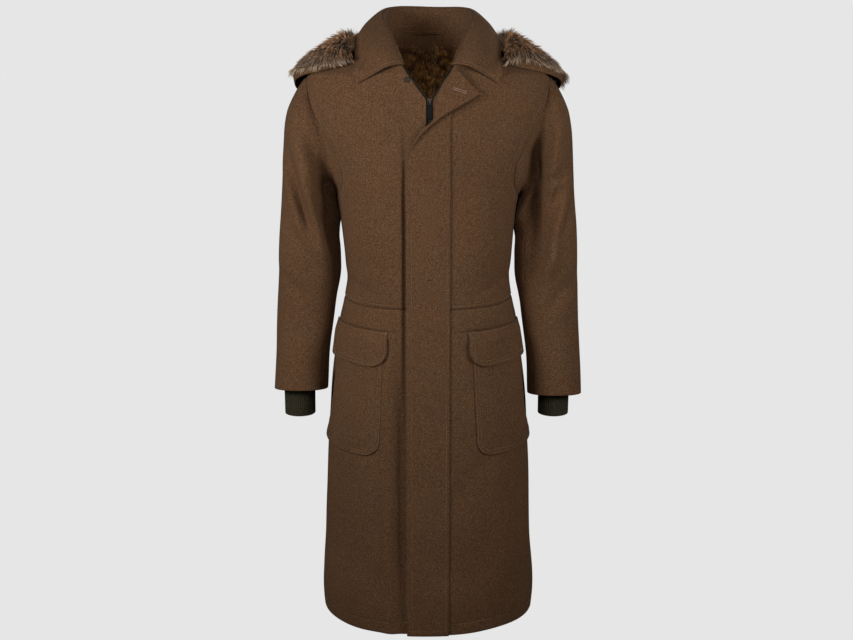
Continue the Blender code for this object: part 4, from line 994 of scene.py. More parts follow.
def part_seam(grid, edges=(0, -1), rows=False, gap=SEAM_GAP):
    """Draws edge columns, or edge rows, of a grid in by a seam gap."""
    grid = grid.copy() if rows else grid.transpose(1, 0, 2).copy()
    for edge in edges:
        inside = 1 if edge == 0 else -2
        grid[edge] = grid[edge] + unit(grid[inside] - grid[edge]) * gap
    return grid if rows else grid.transpose(1, 0, 2)


sleeve_columns = 2 * ARMHOLE_ROWS - 2
sleeve_parts = {
    "sleeve_top": np.arange(SLEEVE_BACK_SEAM, SLEEVE_FRONT_SEAM + sleeve_columns + 1) % sleeve_columns,
    "sleeve_under": np.arange(SLEEVE_FRONT_SEAM, SLEEVE_BACK_SEAM + 1),
}
for name, side in SIDES.items():
    outer, inner = sleeve_walls(name, side)
    for part, picked in sleeve_parts.items():
        cloth_wall(f"{part}_{name}", part_seam(outer[:, picked]), part_seam(inner[:, picked]), [LODEN])
print("sleeve pieces", sum(1 for node in SHELLS if node.startswith("sleeve")))

# %% [markdown]
# ## Collar and hanger loop
# The collar is a stand that rises from the neck seam and a leaf that turns down over it, with felt on its
# underside. One path in section runs from the neck seam over the fold to the leaf's edge, and stations along
# the neck carry it round. The leaf is kept clear of the chest, and at the back the foot of the stand reaches
# into the neck seam, so that no light shows there.

# %% Collar
COLLAR = table(
    "share roll_x roll_y roll_z belly_x belly_y belly_z edge_x edge_y edge_z",
    (0.0, 0.0, 0.086, 0.077, 0.0, 0.112, 0.056, 0.0, 0.126, 0.014),
    (0.19, 0.048, 0.077, 0.0775, 0.064, 0.1, 0.057, 0.074, 0.112, 0.017),
    (0.35, 0.08, 0.045, 0.074, 0.106, 0.056, 0.054, 0.124, 0.066, 0.02),
    (0.51, 0.089, 0.004, 0.064, 0.118, 0.003, 0.046, 0.14, 0.002, 0.016),
    (0.7, 0.074, -0.046, 0.032, 0.105, -0.056, 0.023, 0.138, -0.058, -0.015),
    (0.86, 0.061, -0.082, 0.004, 0.092, -0.097, -0.005, 0.135, -0.088, -0.043),
    (1.0, 0.0475, -0.1085, -0.025, 0.079, -0.12, -0.03, 0.1315, -0.107, -0.0606),
)
COLLAR_STATIONS = 161
STAND_ROWS = 20
STAND_SINK = 0.0026
STAND_SINK_PLACE = 0.25
STAND_SINK_SHARES = (0.5, 0.7)
LEAF_ROWS = 36
FOLD_GAP = 0.008
LEAF_CLEARANCE = 0.0028
LOOP_THICKNESS = 0.0014
LOOP_ARCH = 0.002
LOOP_REACH = 0.13
LOOP_EDGES = (0.66, 0.86)
LOOP_POINTS = 41
LOOP_ROWS = 7
LOOP_ROUND = 0.0008
NECK_STATIONS = 15


def neck_seam(share):
    """The +X half of the neck seam, from the middle of the back (0) to the front end (1)."""
    ring = np.linspace(2 * SIDE, SIDE, NECK_STATIONS)
    heights = NECKLINE["height"][NECKLINE["height"] >= NECK_FRONT][::-1]
    front = front_angle(front_edge(heights, 1.0), heights)
    line = np.concatenate((body_surface(ring, NECK_TOP), body_surface(front, heights)))
    length = np.concatenate(([0.0], np.cumsum(np.linalg.norm(np.diff(line, axis=0), axis=1))))
    return np.stack([smooth(share * length[-1], length, line[:, axis]) for axis in range(3)], -1)


def collar_path(share, place):
    """Underside of the collar: place 0 is the neck seam, 2 the fold and 4 the leaf's edge."""
    half = np.abs(share)
    base = neck_seam(half) + np.array((0.0, 0.0, LAY_GAP))
    line = {part: np.stack([smooth(half, COLLAR["share"], COLLAR[f"{part}_{axis}"]) for axis in "xyz"], -1)
            for part in ("roll", "belly", "edge")}
    stand = (base + line["roll"]) / 2
    section = np.stack((base, stand, line["roll"], line["belly"], line["edge"]))
    turn = np.stack((np.where(share < 0, -1.0, 1.0), np.ones_like(share), np.ones_like(share)), -1)
    return through(section, np.full(1, place))[0] * turn


def collar_surface(share, place, distance):
    """Collar points moved off the underside towards the face that shows; share -1 to 1 is left to right."""
    shape = np.broadcast(share, place).shape
    share = np.broadcast_to(share, shape)
    place = np.broadcast_to(place, shape)

    def path(shares, places):
        return np.array([collar_path(shares[row], places[row, 0]) for row in range(shape[0])])

    step = 4e-3
    along = path(np.clip(share + step, -1, 1), place) - path(np.clip(share - step, -1, 1), place)
    up = path(share, np.clip(place + step, 0, 4)) - path(share, np.clip(place - step, 0, 4))
    normal = unit(np.cross(along, up))
    return path(share, place) + normal * np.asarray(distance)[..., None]


collar_share = np.linspace(-1, 1, COLLAR_STATIONS)[None, :]
for node, first, last, rows, materials in (("collar_stand", 0.0, 2 - FOLD_GAP, STAND_ROWS, [LODEN]),
                                           ("collar_leaf", 2 + FOLD_GAP, 4.0, LEAF_ROWS, [LODEN, FELT])):
    place = np.linspace(first, last, rows)[:, None]
    under, face = (collar_surface(collar_share, place, distance) for distance in (0.0, CLOTH))
    if node == "collar_leaf":
        lift = clear_of_body(under, LEAF_CLEARANCE) - under
    else:
        depth = STAND_SINK * np.clip(1 - place / STAND_SINK_PLACE, 0, 1)
        depth = depth * np.interp(np.abs(collar_share), STAND_SINK_SHARES, (1.0, 0.0))
        lift = np.array((0.0, 0.0, -1.0)) * depth[..., None]
    cloth_wall(node, *worn(face + lift, under + lift), materials)
strip = np.linspace(-LOOP_REACH, LOOP_REACH, LOOP_POINTS)[None, :]
loop_place = np.linspace(*LOOP_EDGES, LOOP_ROWS)[:, None]
arch = CLOTH + LAY_GAP + LOOP_ARCH * (1 - (strip / LOOP_REACH) ** 2)
loop_faces = [collar_surface(strip, loop_place, arch + rise) for rise in (LOOP_THICKNESS, 0.0)]
cloth_wall("hanger_loop", *worn(*loop_faces), [LODEN], rounding=LOOP_ROUND)
print("collar pieces", "collar_leaf" in SHELLS, "collar_stand" in SHELLS)

# %% [markdown]
# ## Hood
# The hood is thrown back: its fur side lies open round the neck like a second collar, and its cloth hangs
# behind as a flat pouch in three pieces. A path in section from the fur's inner edge over the crest to the
# rim and down to the foot is carried round the neck by plan angle. The right half has slipped a little.

# %% Hood
HOOD_FUR = 0.012
HOOD = table(
    "angle inner_r inner_z crest_r crest_z rim_r rim_z foot_z foot_off",
    (66.0, 0.16, -0.014, 0.166, -0.001, 0.179, -0.016, -0.027, 0.0),
    (73.0, 0.153, -0.01, 0.166, 0.016, 0.206, -0.022, -0.037, 0.0),
    (82.0, 0.147, -0.008, 0.164, 0.028, 0.24, -0.031, -0.05, 0.012),
    (92.0, 0.147, -0.006, 0.163, 0.032, 0.262, -0.036, -0.064, 0.022),
    (104.0, 0.146, -0.006, 0.163, 0.03, 0.262, -0.044, -0.09, 0.03),
    (118.0, 0.12, -0.01, 0.159, 0.024, 0.246, -0.05, -0.15, 0.012),
    (136.0, 0.115, -0.016, 0.157, 0.016, 0.22, -0.052, -0.235, 0.0),
    (156.0, 0.112, -0.02, 0.153, 0.008, 0.2, -0.052, -0.305, 0.0),
    (180.0, 0.11, -0.022, 0.151, 0.006, 0.192, -0.052, -0.33, 0.0),
)
HOOD_RIGHT = table(
    "angle rim_r rim_z",
    (66.0, 0.0, 0.004),
    (73.0, -0.018, 0.012),
    (82.0, -0.012, 0.006),
    (92.0, 0.004, -0.008),
    (104.0, 0.009, -0.02),
    (118.0, 0.004, -0.01),
    (136.0, 0.0, 0.0),
)
HOOD_FRONT = HOOD["angle"][0]
HOOD_STATIONS = 161
HOOD_ANGLES = np.radians(np.linspace(HOOD_FRONT, 360 - HOOD_FRONT, HOOD_STATIONS))
HOOD_BELLY = 0.024
HOOD_BELLY_PLACE = 0.55
HOOD_FULL_DROP = 0.25
HOOD_SHOULDER = (0.72, 0.56)
HOOD_CENTRE_SHARE = 6 / 32
FUR_THIN = 0.3
FUR_END_ANGLE = 25.0
FUR_ROWS = 25
HOOD_ROWS = 40
RIM, FOOT = 3.0, 5.0
HOOD_CREASES = table(
    CREASE_COLUMNS,
    (-0.15, -0.09, -0.07, -0.21, 0.014, -0.004, -1),
    (0.14, -0.085, 0.06, -0.23, 0.015, -0.0044, -1),
    (-0.09, -0.08, -0.02, -0.26, 0.012, -0.003, -1),
    (0.05, -0.075, 0.015, -0.2, 0.013, -0.003, -1),
    (-0.12, -0.19, 0.09, -0.215, 0.012, -0.0034, -1),
)


def body_radius(angle, height):
    """Plan distance from the middle to the body in a true direction (0 front, SIDE +X)."""
    half_width, front, back = body_section(height)
    depth = np.where(np.cos(angle) > 0, front, back)
    return 1 / oval(np.sin(angle) / half_width, np.cos(angle) / depth)


def half_turn(angle):
    """Plan angle in degrees, counted from the front on either side."""
    return np.degrees(2 * SIDE - np.abs(2 * SIDE - angle))


def hood_path(angle, place):
    """Outer side of the hood at a plan angle: place 0 is the fur's inner edge, 1 crest, 3 rim, 5 the foot."""
    half = half_turn(angle)
    read = {name: smooth(half, HOOD["angle"], values) for name, values in HOOD.items()}
    for name in ("rim_r", "rim_z"):
        slip = smooth(half, HOOD_RIGHT["angle"], HOOD_RIGHT[name])
        read[name] = read[name] + np.where(angle < 2 * SIDE, slip, 0.0)
    foot_r = body_radius(angle, read["foot_z"]) + CLOTH + LAY_GAP + read["foot_off"]
    drop = read["rim_z"] - read["foot_z"]
    belly = HOOD_BELLY * np.clip(drop / HOOD_FULL_DROP, 0, 1)
    shoulder_r, shoulder_z = HOOD_SHOULDER
    section = np.array((
        (read["inner_r"], read["inner_z"]),
        (read["crest_r"], read["crest_z"]),
        (read["crest_r"] + shoulder_r * (read["rim_r"] - read["crest_r"]),
         read["crest_z"] + shoulder_z * (read["rim_z"] - read["crest_z"])),
        (read["rim_r"], read["rim_z"]),
        ((read["rim_r"] + foot_r) / 2 + belly, read["rim_z"] - HOOD_BELLY_PLACE * drop),
        (foot_r, read["foot_z"]),
    ))
    radius, height = through(section.transpose(0, 2, 1), np.full(1, place))[0].T
    return np.stack((radius * np.sin(angle), -radius * np.cos(angle), height), -1)


def cloth_depth(angle, place):
    return CLOTH


def fur_depth(angle, place):
    """Thickness of the hood's fur: full in the middle, thin at the rim, the inner edge and the front ends."""
    fullness = FUR_THIN + (1 - FUR_THIN) * np.sin(math.pi * np.clip(place / RIM, 0, 1))
    from_end = FUR_THIN + (half_turn(angle) - HOOD_FRONT) / FUR_END_ANGLE
    return HOOD_FUR * fullness * np.clip(from_end, FUR_THIN, 1)


def hood_walls(first, last, rows, depth):
    """Outer and inner grids of a band of the hood."""
    outer, inner = [], []
    step = 4e-3
    for place in np.linspace(first, last, rows):
        here = hood_path(HOOD_ANGLES, place)
        along = hood_path(HOOD_ANGLES + step, place) - hood_path(HOOD_ANGLES - step, place)
        below = hood_path(HOOD_ANGLES, min(place + step, FOOT))
        down = below - hood_path(HOOD_ANGLES, max(place - step, 0.0))
        normal = unit(np.cross(down, along))
        thickness = np.reshape(depth(HOOD_ANGLES, place), (-1, 1))
        under = clear_of_body(here - normal * thickness, LAY_GAP)
        outer.append(under + normal * thickness)
        inner.append(under)
    return np.array(outer), np.array(inner)


pouch = hood_walls(RIM, FOOT, HOOD_ROWS, cloth_depth)
outer, inner = worn(*(part_seam(grid, (0,), rows=True, gap=LAY_GAP) for grid in pouch), HOOD_CREASES)
hood_middle = HOOD_STATIONS // 2
hood_half = int(HOOD_CENTRE_SHARE * (HOOD_STATIONS - 1) / 2)
hood_parts = (("hood_side_right", 0, hood_middle - hood_half),
              ("hood_centre", hood_middle - hood_half, hood_middle + hood_half),
              ("hood_side_left", hood_middle + hood_half, HOOD_STATIONS - 1))
for node, first, last in hood_parts:
    cloth_wall(node, *(part_seam(grid[:, first:last + 1]) for grid in (outer, inner)), [LODEN])
print("hood cloth pieces", len(hood_parts))

# %% [markdown]
# ## Storm flap
# The flap covers the zip and its top corner is turned back to show the buttonhole. It is one strip of cloth
# that is laid on the front, and the points past a slanting roll line go round a small radius and lie back on
# the strip.

# %% Storm flap
FLAP_SEAM = 0.042
FLAP_TOP = -0.033
FLAP_SLANT = 0.27
FLAP_SLANT_START = -0.15
FLAP_EDGE = table(
    "height x",
    (-1.2, -0.042),
    (-0.26, -0.042),
    (-0.2, -0.036),
    (-0.16, -0.03),
    (-0.033, -0.02),
)
# The free edge as it shows, from where it starts to turn up to the corner's tip
LAPEL = table(
    "x height",
    (-0.035, -0.2012),
    (-0.0275, -0.1744),
    (-0.0125, -0.1531),
    (0.012, -0.131),
    (0.0393, -0.1127),
    (0.0748, -0.0922),
    (0.0946, -0.0794),
)
LAPEL_FOOT = -0.152
ROLL = table(
    "height x",
    (-1.2, -0.42),
    (-0.26, -0.06),
    (-0.195, -0.035),
    (-0.1684, -0.0206),
    (-0.1456, -0.008),
    (-0.134, 0.0085),
    (-0.1257, 0.016),
    (-0.11, 0.017),
    (-0.0952, 0.019),
    (-0.0647, 0.0316),
    (-0.0306, 0.0577),
    (0.02, 0.0977),
)
ROLL_TILT = math.radians(30)
ROLL_RADIUS = 0.005
TURN_MARGIN = 0.012
EDGE_MARGIN = 0.003
SEAM_MARGIN = 0.004
FLAP_STRAIGHT_TOP = -0.281
STRAIGHT_ROWS = 100
TURNED_ROWS = 70
TURNED_COLUMNS = 9
ROLL_COLUMNS = 22
LYING_COLUMNS = 26
ROLL_ROUNDS = 60
TURN_SEARCH = np.linspace(0.12, -0.42, 271)
EDGE_SEARCH = np.linspace(0.1, -0.1, 401)


def flap_past(x, height):
    """How far a flat place of the flap lies past the roll line, measured the way that the corner turns."""
    past = np.zeros(np.shape(x))
    for _ in range(ROLL_ROUNDS):
        roll = smooth(height - past * math.sin(ROLL_TILT), ROLL["height"], ROLL["x"])
        past = (roll - x) / math.cos(ROLL_TILT)
    return past


def flap_level(x, height):
    """Flat height of a storm flap row, whose top rows slant up towards the free edge."""
    share = np.clip((height - FLAP_SLANT_START) / (FLAP_TOP - FLAP_SLANT_START), 0, 1)
    return height + FLAP_SLANT * eased(share) * np.clip(ROLL["x"][-2] - x, 0, None)


def flap_turn(height, past):
    """x at which a row of the flap lies a given distance past the roll line."""
    x = TURN_SEARCH
    return np.array([np.interp(past, flap_past(x, flap_level(x, level)), x) for level in height])


def flap_fold(x, height, distance):
    """Front-view place and rise of storm flap points: those past the roll line turn over it and lie back."""
    turned_way = np.array((-math.cos(ROLL_TILT), math.sin(ROLL_TILT)))
    flat = np.stack((x, height), -1)
    past = flap_past(x, height)
    bend = np.clip(past / ROLL_RADIUS, 0, math.pi)
    beyond = np.clip(past - math.pi * ROLL_RADIUS, 0, None)
    move = -np.clip(past, 0, None) + ROLL_RADIUS * np.sin(bend) - beyond - distance * np.sin(bend)
    rise = LAY_GAP + CLOTH / 2 + ROLL_RADIUS * (1 - np.cos(bend)) + distance * np.cos(bend)
    return flat + move[..., None] * turned_way, rise


def flap_shape(x, height, distance):
    """Storm flap points from their flat place."""
    place, rise = flap_fold(x, height, distance)
    return off_body(front_angle(place[..., 0], place[..., 1]), place[..., 1], rise)


def flap_edge(heights):
    """x of each row's free edge: upright below, then where the row meets the edge of the turned corner."""
    edges = smooth(heights, FLAP_EDGE["height"], FLAP_EDGE["x"])
    x = EDGE_SEARCH
    for row in np.nonzero(heights > LAPEL_FOOT)[0]:
        place, _ = flap_fold(x, flap_level(x, heights[row]), 0.0)
        above = place[:, 1] - smooth(place[:, 0], LAPEL["x"], LAPEL["height"])
        last = np.nonzero(above > 0)[0][-1]
        edges[row] = np.interp(0.0, above[last + 1:last - 1:-1], x[last + 1:last - 1:-1])
    return edges


flap_heights = np.concatenate((np.linspace(HEM, FLAP_STRAIGHT_TOP, STRAIGHT_ROWS),
                               np.linspace(FLAP_STRAIGHT_TOP, FLAP_TOP, TURNED_ROWS)[1:]))
flap_edge_x = flap_edge(flap_heights)
turn_start = np.maximum(flap_turn(flap_heights, 0.0), flap_edge_x + TURN_MARGIN)
turn_end = np.maximum(flap_turn(flap_heights, math.pi * ROLL_RADIUS), flap_edge_x + EDGE_MARGIN)
flap_seam_x = np.maximum(FLAP_SEAM, turn_start + SEAM_MARGIN)
flap_x = np.concatenate((spread(flap_edge_x, turn_end, TURNED_COLUMNS)[:, :-1],
                         spread(turn_end, turn_start, ROLL_COLUMNS),
                         spread(turn_start, flap_seam_x, LYING_COLUMNS)[:, 1:]), axis=1)
flap_levels = flap_level(flap_x, flap_heights[:, None])
flap_faces = [flap_shape(flap_x, flap_levels, distance) for distance in (CLOTH / 2, -CLOTH / 2)]
cloth_wall("storm_flap", *worn(*flap_faces), [LODEN])
print("storm flap", flap_x.shape)

# %% [markdown]
# ## Pockets
# Each skirt front carries a patch pocket, open at the side for the hand, with a flap over its top. They are
# laid on the skirt: the same angles and heights, moved out by the layers below. The lower corners are round,
# and the open edge of the patch is drawn back round the side, so that the dark slit, which is painted
# shadow, shows beside it.

# %% Pockets
POCKET_TOP = -0.556
POCKET_BOTTOM = -0.78
POCKET_INNER_TOP = 0.086
POCKET_INNER_BOTTOM = 0.0975
POCKET_CORNER = 0.03
POCKET_SIDE = table(
    "height angle",
    (POCKET_BOTTOM, 84.0),
    (-0.745, 72.0),
    (-0.715, 67.5),
    (POCKET_TOP, 66.0),
)
POCKET_WALL = 0.0025
POCKET_LIFT = 0.0015
POCKET_GAP = 0.0012
FLAP_LOWER = -0.5995
FLAP_INNER = 0.078
FLAP_CORNER = 0.034
FLAP_OUTER_ANGLE = 84.0
FLAP_FALL = 1.25
FLAP_SETTLE = 0.0045
FLAP_SETTLE_START = 0.76
POCKET_COLUMNS = 56
CORNER_ROWS = 26
PATCH_ROWS = 60
POCKET_FLAP_ROWS = 26


def corner_inset(height, bottom, radius):
    """How far a rounded lower corner draws an edge in at each height."""
    below = np.clip(radius - (height - bottom), 0, radius)
    return radius - np.sqrt(radius**2 - below**2)


def pocket_rows(bottom, top, corner, even_rows):
    """Heights of a pocket piece's rows, crowded in its rounded lower corner."""
    crowded = bottom + corner * np.linspace(0, 1, CORNER_ROWS) ** 2
    return np.concatenate((crowded, np.linspace(bottom + corner, top, even_rows)[1:]))


patch_rows = pocket_rows(POCKET_BOTTOM, POCKET_TOP, POCKET_CORNER, PATCH_ROWS)
patch_slope = (POCKET_INNER_TOP - POCKET_INNER_BOTTOM) / (POCKET_TOP - POCKET_BOTTOM)
patch_edge = POCKET_INNER_BOTTOM + patch_slope * (patch_rows - POCKET_BOTTOM)
patch_edge = patch_edge + corner_inset(patch_rows, POCKET_BOTTOM, POCKET_CORNER)
patch_side = np.radians(np.interp(patch_rows, POCKET_SIDE["height"], POCKET_SIDE["angle"]))
pocket_share = np.linspace(0, 1, POCKET_COLUMNS)[None, :]
patch_lift = POCKET_GAP + POCKET_LIFT * pocket_share**3

pocket_flap_rows = pocket_rows(FLAP_LOWER, FLAP_UPPER, FLAP_CORNER, POCKET_FLAP_ROWS)
pocket_flap_edge = FLAP_INNER + corner_inset(pocket_flap_rows, FLAP_LOWER, FLAP_CORNER)
pocket_flap_side = math.radians(FLAP_OUTER_ANGLE)
flap_drop = np.clip((FLAP_UPPER - pocket_flap_rows) / (FLAP_UPPER - POCKET_TOP) * FLAP_FALL, 0, 1)[:, None]
settled = np.clip((pocket_share - FLAP_SETTLE_START) / (1 - FLAP_SETTLE_START), 0, 1) ** 2
flap_over = POCKET_GAP + POCKET_WALL + POCKET_LIFT - FLAP_SETTLE * settled
flap_lift = LAY_GAP + flap_over * flap_drop

pocket_pieces = (("pocket_patch", patch_rows, patch_edge, patch_side, patch_lift),
                 ("pocket_flap", pocket_flap_rows, pocket_flap_edge, pocket_flap_side, flap_lift))
for name, side in SIDES.items():
    for part, heights, edge, last, lift in pocket_pieces:
        angles = side * spread(front_angle(edge, heights), last, POCKET_COLUMNS)
        faces = layers(angles, heights, lift + POCKET_WALL, lift)
        cloth_wall(f"{part}_{name}", *worn(*faces, BODY_CREASES), [LODEN])
print("pocket pieces", 2 * len(pocket_pieces))

# %% [markdown]
# ## Knit cuffs
# Inside each sleeve sits a cuff of ribbed knit that grips the wrist. The ribs are real waves in the wall. The
# cuff widens upwards to the inside of the sleeve, where it is sewn in.

# %% Knit cuffs
CUFF_BOTTOM = -0.734
CUFF_HALF_WIDTH = 0.03
CUFF_HALF_DEPTH = 0.028
CUFF_RIBS = 44
RIB_POINTS = 5
CUFF_COLUMNS = CUFF_RIBS * RIB_POINTS
CUFF_ROWS = 20
RIB_HEIGHT = 0.0014
CUFF_WALL = 0.0022
CUFF_SHIFT = {"left": 0.0035, "right": -0.002}
CUFF_CLEARANCE = 0.0016
CUFF_ROUND = 0.0015
CUFF = table(
    "level widening",
    (CUFF_BOTTOM, 0.0),
    (-0.688, 0.02),
    (-0.67, 0.35),
    (-0.65, 1.0),
)
KNIT = felted("knit_rib", (0.034, 0.028, 0.016), (0.088, 0.076, 0.048), (0.01, 0.008, 0.004),
              (0.046, 0.04, 0.023), 0.6, 0.08, (0.5, 0.5, 0.4))
cuff_angle = np.linspace(0, 2 * math.pi, CUFF_COLUMNS, endpoint=False)
rib_wave = RIB_HEIGHT * (0.5 - 0.5 * np.cos(CUFF_RIBS * cuff_angle))
sleeve_middle = sleeve_frame(np.ones(1), 0.0)[0][0]
sleeve_knots = np.linspace(0, 1, len(SLEEVE["outer_z"]))
for name, side in SIDES.items():
    outer, inner = [], []
    for level in np.linspace(CUFF_BOTTOM, CUFF["level"][-1], CUFF_ROWS):
        widening = smooth(np.array(level), CUFF["level"], CUFF["widening"])
        share = np.full(CUFF_COLUMNS, np.interp(-level, -SLEEVE["outer_z"], sleeve_knots))
        fitted = sleeve_surface(share, cuff_angle, 0.0, CLOTH + CUFF_CLEARANCE)
        centre = sleeve_middle + np.array((CUFF_SHIFT[name] * (1 - widening), 0.0, 0.0))
        for ring, thickness, raised in ((outer, 0.0, rib_wave), (inner, CUFF_WALL, 0.0)):
            wide = CUFF_HALF_WIDTH - thickness + raised
            deep = CUFF_HALF_DEPTH - thickness + raised
            around = (wide * np.cos(cuff_angle), -deep * np.sin(cuff_angle), np.zeros(CUFF_COLUMNS))
            towards = unit(fitted - centre) * thickness
            ring_points = (centre + np.stack(around, -1)) * (1 - widening) + (fitted - towards) * widening
            ring_points[:, 2] = level
            ring.append(ring_points)
    grids = [mirrored(np.array(grid), side) for grid in (outer, inner)]
    cloth_wall(f"cuff_rib_{name}", *grids, [KNIT], "knit_rib", ring=True, rounding=CUFF_ROUND)
print("cuffs with", CUFF_RIBS, "ribs")

# %% [markdown]
# ## Fur
# The hood's fur and the lining are pile: a backing with thousands of locks of hair. Hair particles don't
# leave the program, so the locks are real meshes. Geometry Nodes scatter points on the pile's surface, turn a
# small curved lock to each point by the way the hair flows there, and realize the result. Some roots lie past
# the hood's rim and front ends and on the foot of the collar stand, where hair covers the edges. The lock
# keeps its place from root to tip as an attribute, and the material reads that for the pale tips and for
# painted shade towards the roots. A paler gold stripe down the lining is painted highlight along a ridge.


# %% A node tree and a lock of hair
def geometry_tree(name, **inputs):
    """A Geometry Nodes tree with named inputs for its sizes, listed by kind."""
    tree = bpy.data.node_groups.new(name, "GeometryNodeTree")
    group_socket(tree, "Geometry", "Geometry")
    for kind, labels in inputs.items():
        for label in labels.split():
            group_socket(tree, label, kind)
    group_socket(tree, "Geometry", "Geometry", out=True)
    return tree


def stored(tree, name, kind="FLOAT"):
    """An attribute of the source mesh, read in a tree."""
    reader = tree_step(tree, "GeometryNodeInputNamedAttribute", {"Name": name}, data_type=kind)
    return reader.outputs["Attribute"]


def turned_to(tree, up, along):
    """A rotation whose Z goes along one vector and whose X then turns towards another."""
    upright = tree_step(tree, "FunctionNodeAlignRotationToVector", {"Vector": up}, axis="Z")
    turned = tree_step(tree, "FunctionNodeAlignRotationToVector",
                       {"Rotation": upright.outputs[0], "Vector": along}, axis="X", pivot_axis="Z")
    return turned.outputs[0]


def placed(tree, item, points, rotation, scale):
    """An object put at every point."""
    shape = tree_step(tree, "GeometryNodeObjectInfo", {"Object": item}).outputs["Geometry"]
    sockets = {"Points": points, "Instance": shape, "Rotation": rotation, "Scale": scale}
    return tree_step(tree, "GeometryNodeInstanceOnPoints", sockets).outputs[0]


def put_out(tree, instances, material):
    """The end of a tree: real meshes with their material."""
    real = tree_step(tree, "GeometryNodeRealizeInstances", {"Geometry": instances}).outputs[0]
    coloured = tree_step(tree, "GeometryNodeSetMaterial", {"Geometry": real, "Material": material})
    tree_step(tree, "NodeGroupOutput", {"Geometry": coloured.outputs[0]})


def grown(name, tree, source, values):
    """The plain mesh that a tree makes from a source mesh, as a piece of the coat."""
    maker = source.modifiers.new(name, "NODES")
    maker.node_group = tree
    for socket in tree.interface.items_tree:
        if socket.in_out == "INPUT" and socket.name in values:
            maker[socket.identifier] = values[socket.name]
    graph = bpy.context.evaluated_depsgraph_get()
    mesh = bpy.data.meshes.new_from_object(source.evaluated_get(graph), depsgraph=graph)
    mesh.name = name
    bpy.data.objects.remove(source)
    return on_coat(linked(name, mesh))


def add_attribute(mesh, name, values, kind="FLOAT"):
    attribute = mesh.attributes.new(name, kind, "POINT")
    field = "vector" if kind == "FLOAT_VECTOR" else "value"
    attribute.data.foreach_set(field, np.asarray(values, float).ravel())


# Rings of a lock of hair from its root: height, how far it leans, and half its width
LOCK = table(
    "height lean half_width",
    (0.0, 0.0, 0.03),
    (0.5, 0.07, 0.036),
)
LOCK_TIP = (0.3, 0.0, 1.0)
LOCK_SIDES = 3
LOCK_SIZES = (0.65, 1.2)


def lock_of_hair():
    """A curved lock of unit height that comes to a point."""
    turn = np.linspace(0, 2 * math.pi, LOCK_SIDES, endpoint=False)
    rings = [np.stack((lean + half * np.cos(turn), half * np.sin(turn), np.full(LOCK_SIDES, height)), -1)
             for height, lean, half in zip(*LOCK.values())]
    points = np.concatenate((*rings, (LOCK_TIP,)))
    tip = len(points) - 1
    last = tip - LOCK_SIDES
    faces = grid_faces(len(rings), LOCK_SIDES, True).tolist()
    faces += [(last + index, last + (index + 1) % LOCK_SIDES, tip) for index in range(LOCK_SIDES)]
    faces.append(list(range(LOCK_SIDES))[::-1])
    piece = new_mesh_object("lock", points, faces)
    add_attribute(piece.data, "tip", np.append(np.repeat(LOCK["height"], LOCK_SIDES), LOCK_TIP[2]))
    return piece


def fur_tree():
    """Locks of hair on a surface, laid along its flow and tousled."""
    tree = geometry_tree("fur_pile", Object="Lock", Float="Density Length Lift Tousle", Int="Seed",
                         Material="Material")
    given = tree_step(tree, "NodeGroupInput").outputs
    seed = given["Seed"]
    roots = tree_step(tree, "GeometryNodeDistributePointsOnFaces",
                      {"Mesh": given["Geometry"], "Density": given["Density"], "Seed": seed}).outputs
    flow = stored(tree, "flow", "FLOAT_VECTOR")
    every_way = {"Min": (-1.0, -1.0, -1.0), "Max": (1.0, 1.0, 1.0), "Seed": seed}
    stray = tree_step(tree, "FunctionNodeRandomValue", every_way, data_type="FLOAT_VECTOR")
    rise = combined(tree, "SCALE", roots["Normal"], given["Lift"])
    wild = combined(tree, "SCALE", stray.outputs["Value"], given["Tousle"])
    way = combined(tree, "ADD", combined(tree, "ADD", rise, flow), wild)
    least, most = LOCK_SIZES
    uneven = tree_step(tree, "FunctionNodeRandomValue", {2: least, 3: most, "Seed": seed}).outputs[1]
    size = combined(tree, "MULTIPLY", uneven, given["Length"], "ShaderNodeMath")
    size = combined(tree, "MULTIPLY", size, stored(tree, "pile"), "ShaderNodeMath")
    locks = placed(tree, given["Lock"], roots["Points"], turned_to(tree, way, flow), size)
    chance = tree_step(tree, "FunctionNodeRandomValue", {2: 0.0, 3: 1.0, "Seed": seed}).outputs[1]
    tinted = tree_step(tree, "GeometryNodeStoreNamedAttribute",
                       {"Geometry": locks, "Name": "tint", "Value": chance}, domain="INSTANCE")
    put_out(tree, tinted.outputs[0], given["Material"])
    return tree


FUR = fur_tree()
hair_lock = lock_of_hair()
print("fur tree", len(FUR.nodes), "nodes, lock", len(hair_lock.data.polygons), "faces")


# %% Fur colours
def attribute_value(tree, name):
    return tree_step(tree, "ShaderNodeAttribute", attribute_name=name).outputs["Fac"]


def fur_look(name, dark, warm, bands, tip_colour, tip_share):
    """Pile with dark and warm mottles, bands of other colours across it, paler tips and painted shade at the
    roots.
    """
    material, tree, shader = principled(name)
    place = object_place(tree)
    tip, tint, band = (attribute_value(tree, label) for label in ("tip", "tint", "band"))
    patch = noise(tree, place, 62.0, 2.0)
    streak = noise(tree, place, 230.0, 2.0)
    colour = turning(tree, dark, warm, patch, 0.42, 0.6)
    for start, end, share, band_colour in bands:
        colour = turning(tree, colour, band_colour, band, start, end, most=share)
    colour = turning(tree, colour, dark, streak, 0.35, 0.62, 0.55, 0.0)
    colour = turning(tree, colour, tip_colour, tip, 0.45, 1.0, most=tip_share)
    # Painted shade: each lock darkens towards its root, and the backing, with no tip value, is darkest; the
    # random tint is each lock's own tone
    root_shade = ramp(tree, tip, 0.0, 0.6, 0.35, 1.0)
    tone_and_root_shade = combined(tree, "MULTIPLY", ramp(tree, tint, 0.0, 1.0, 0.55, 1.35), root_shade, "ShaderNodeMath")
    fill(tree, shader, {"Base Color": combined(tree, "SCALE", colour, tone_and_root_shade), "Roughness": 0.62,
                        "Specular IOR Level": 0.25, "Sheen Weight": 0.12, "Sheen Roughness": 0.4,
                        "Sheen Tint": (0.8, 0.66, 0.5, 1.0)})
    return material


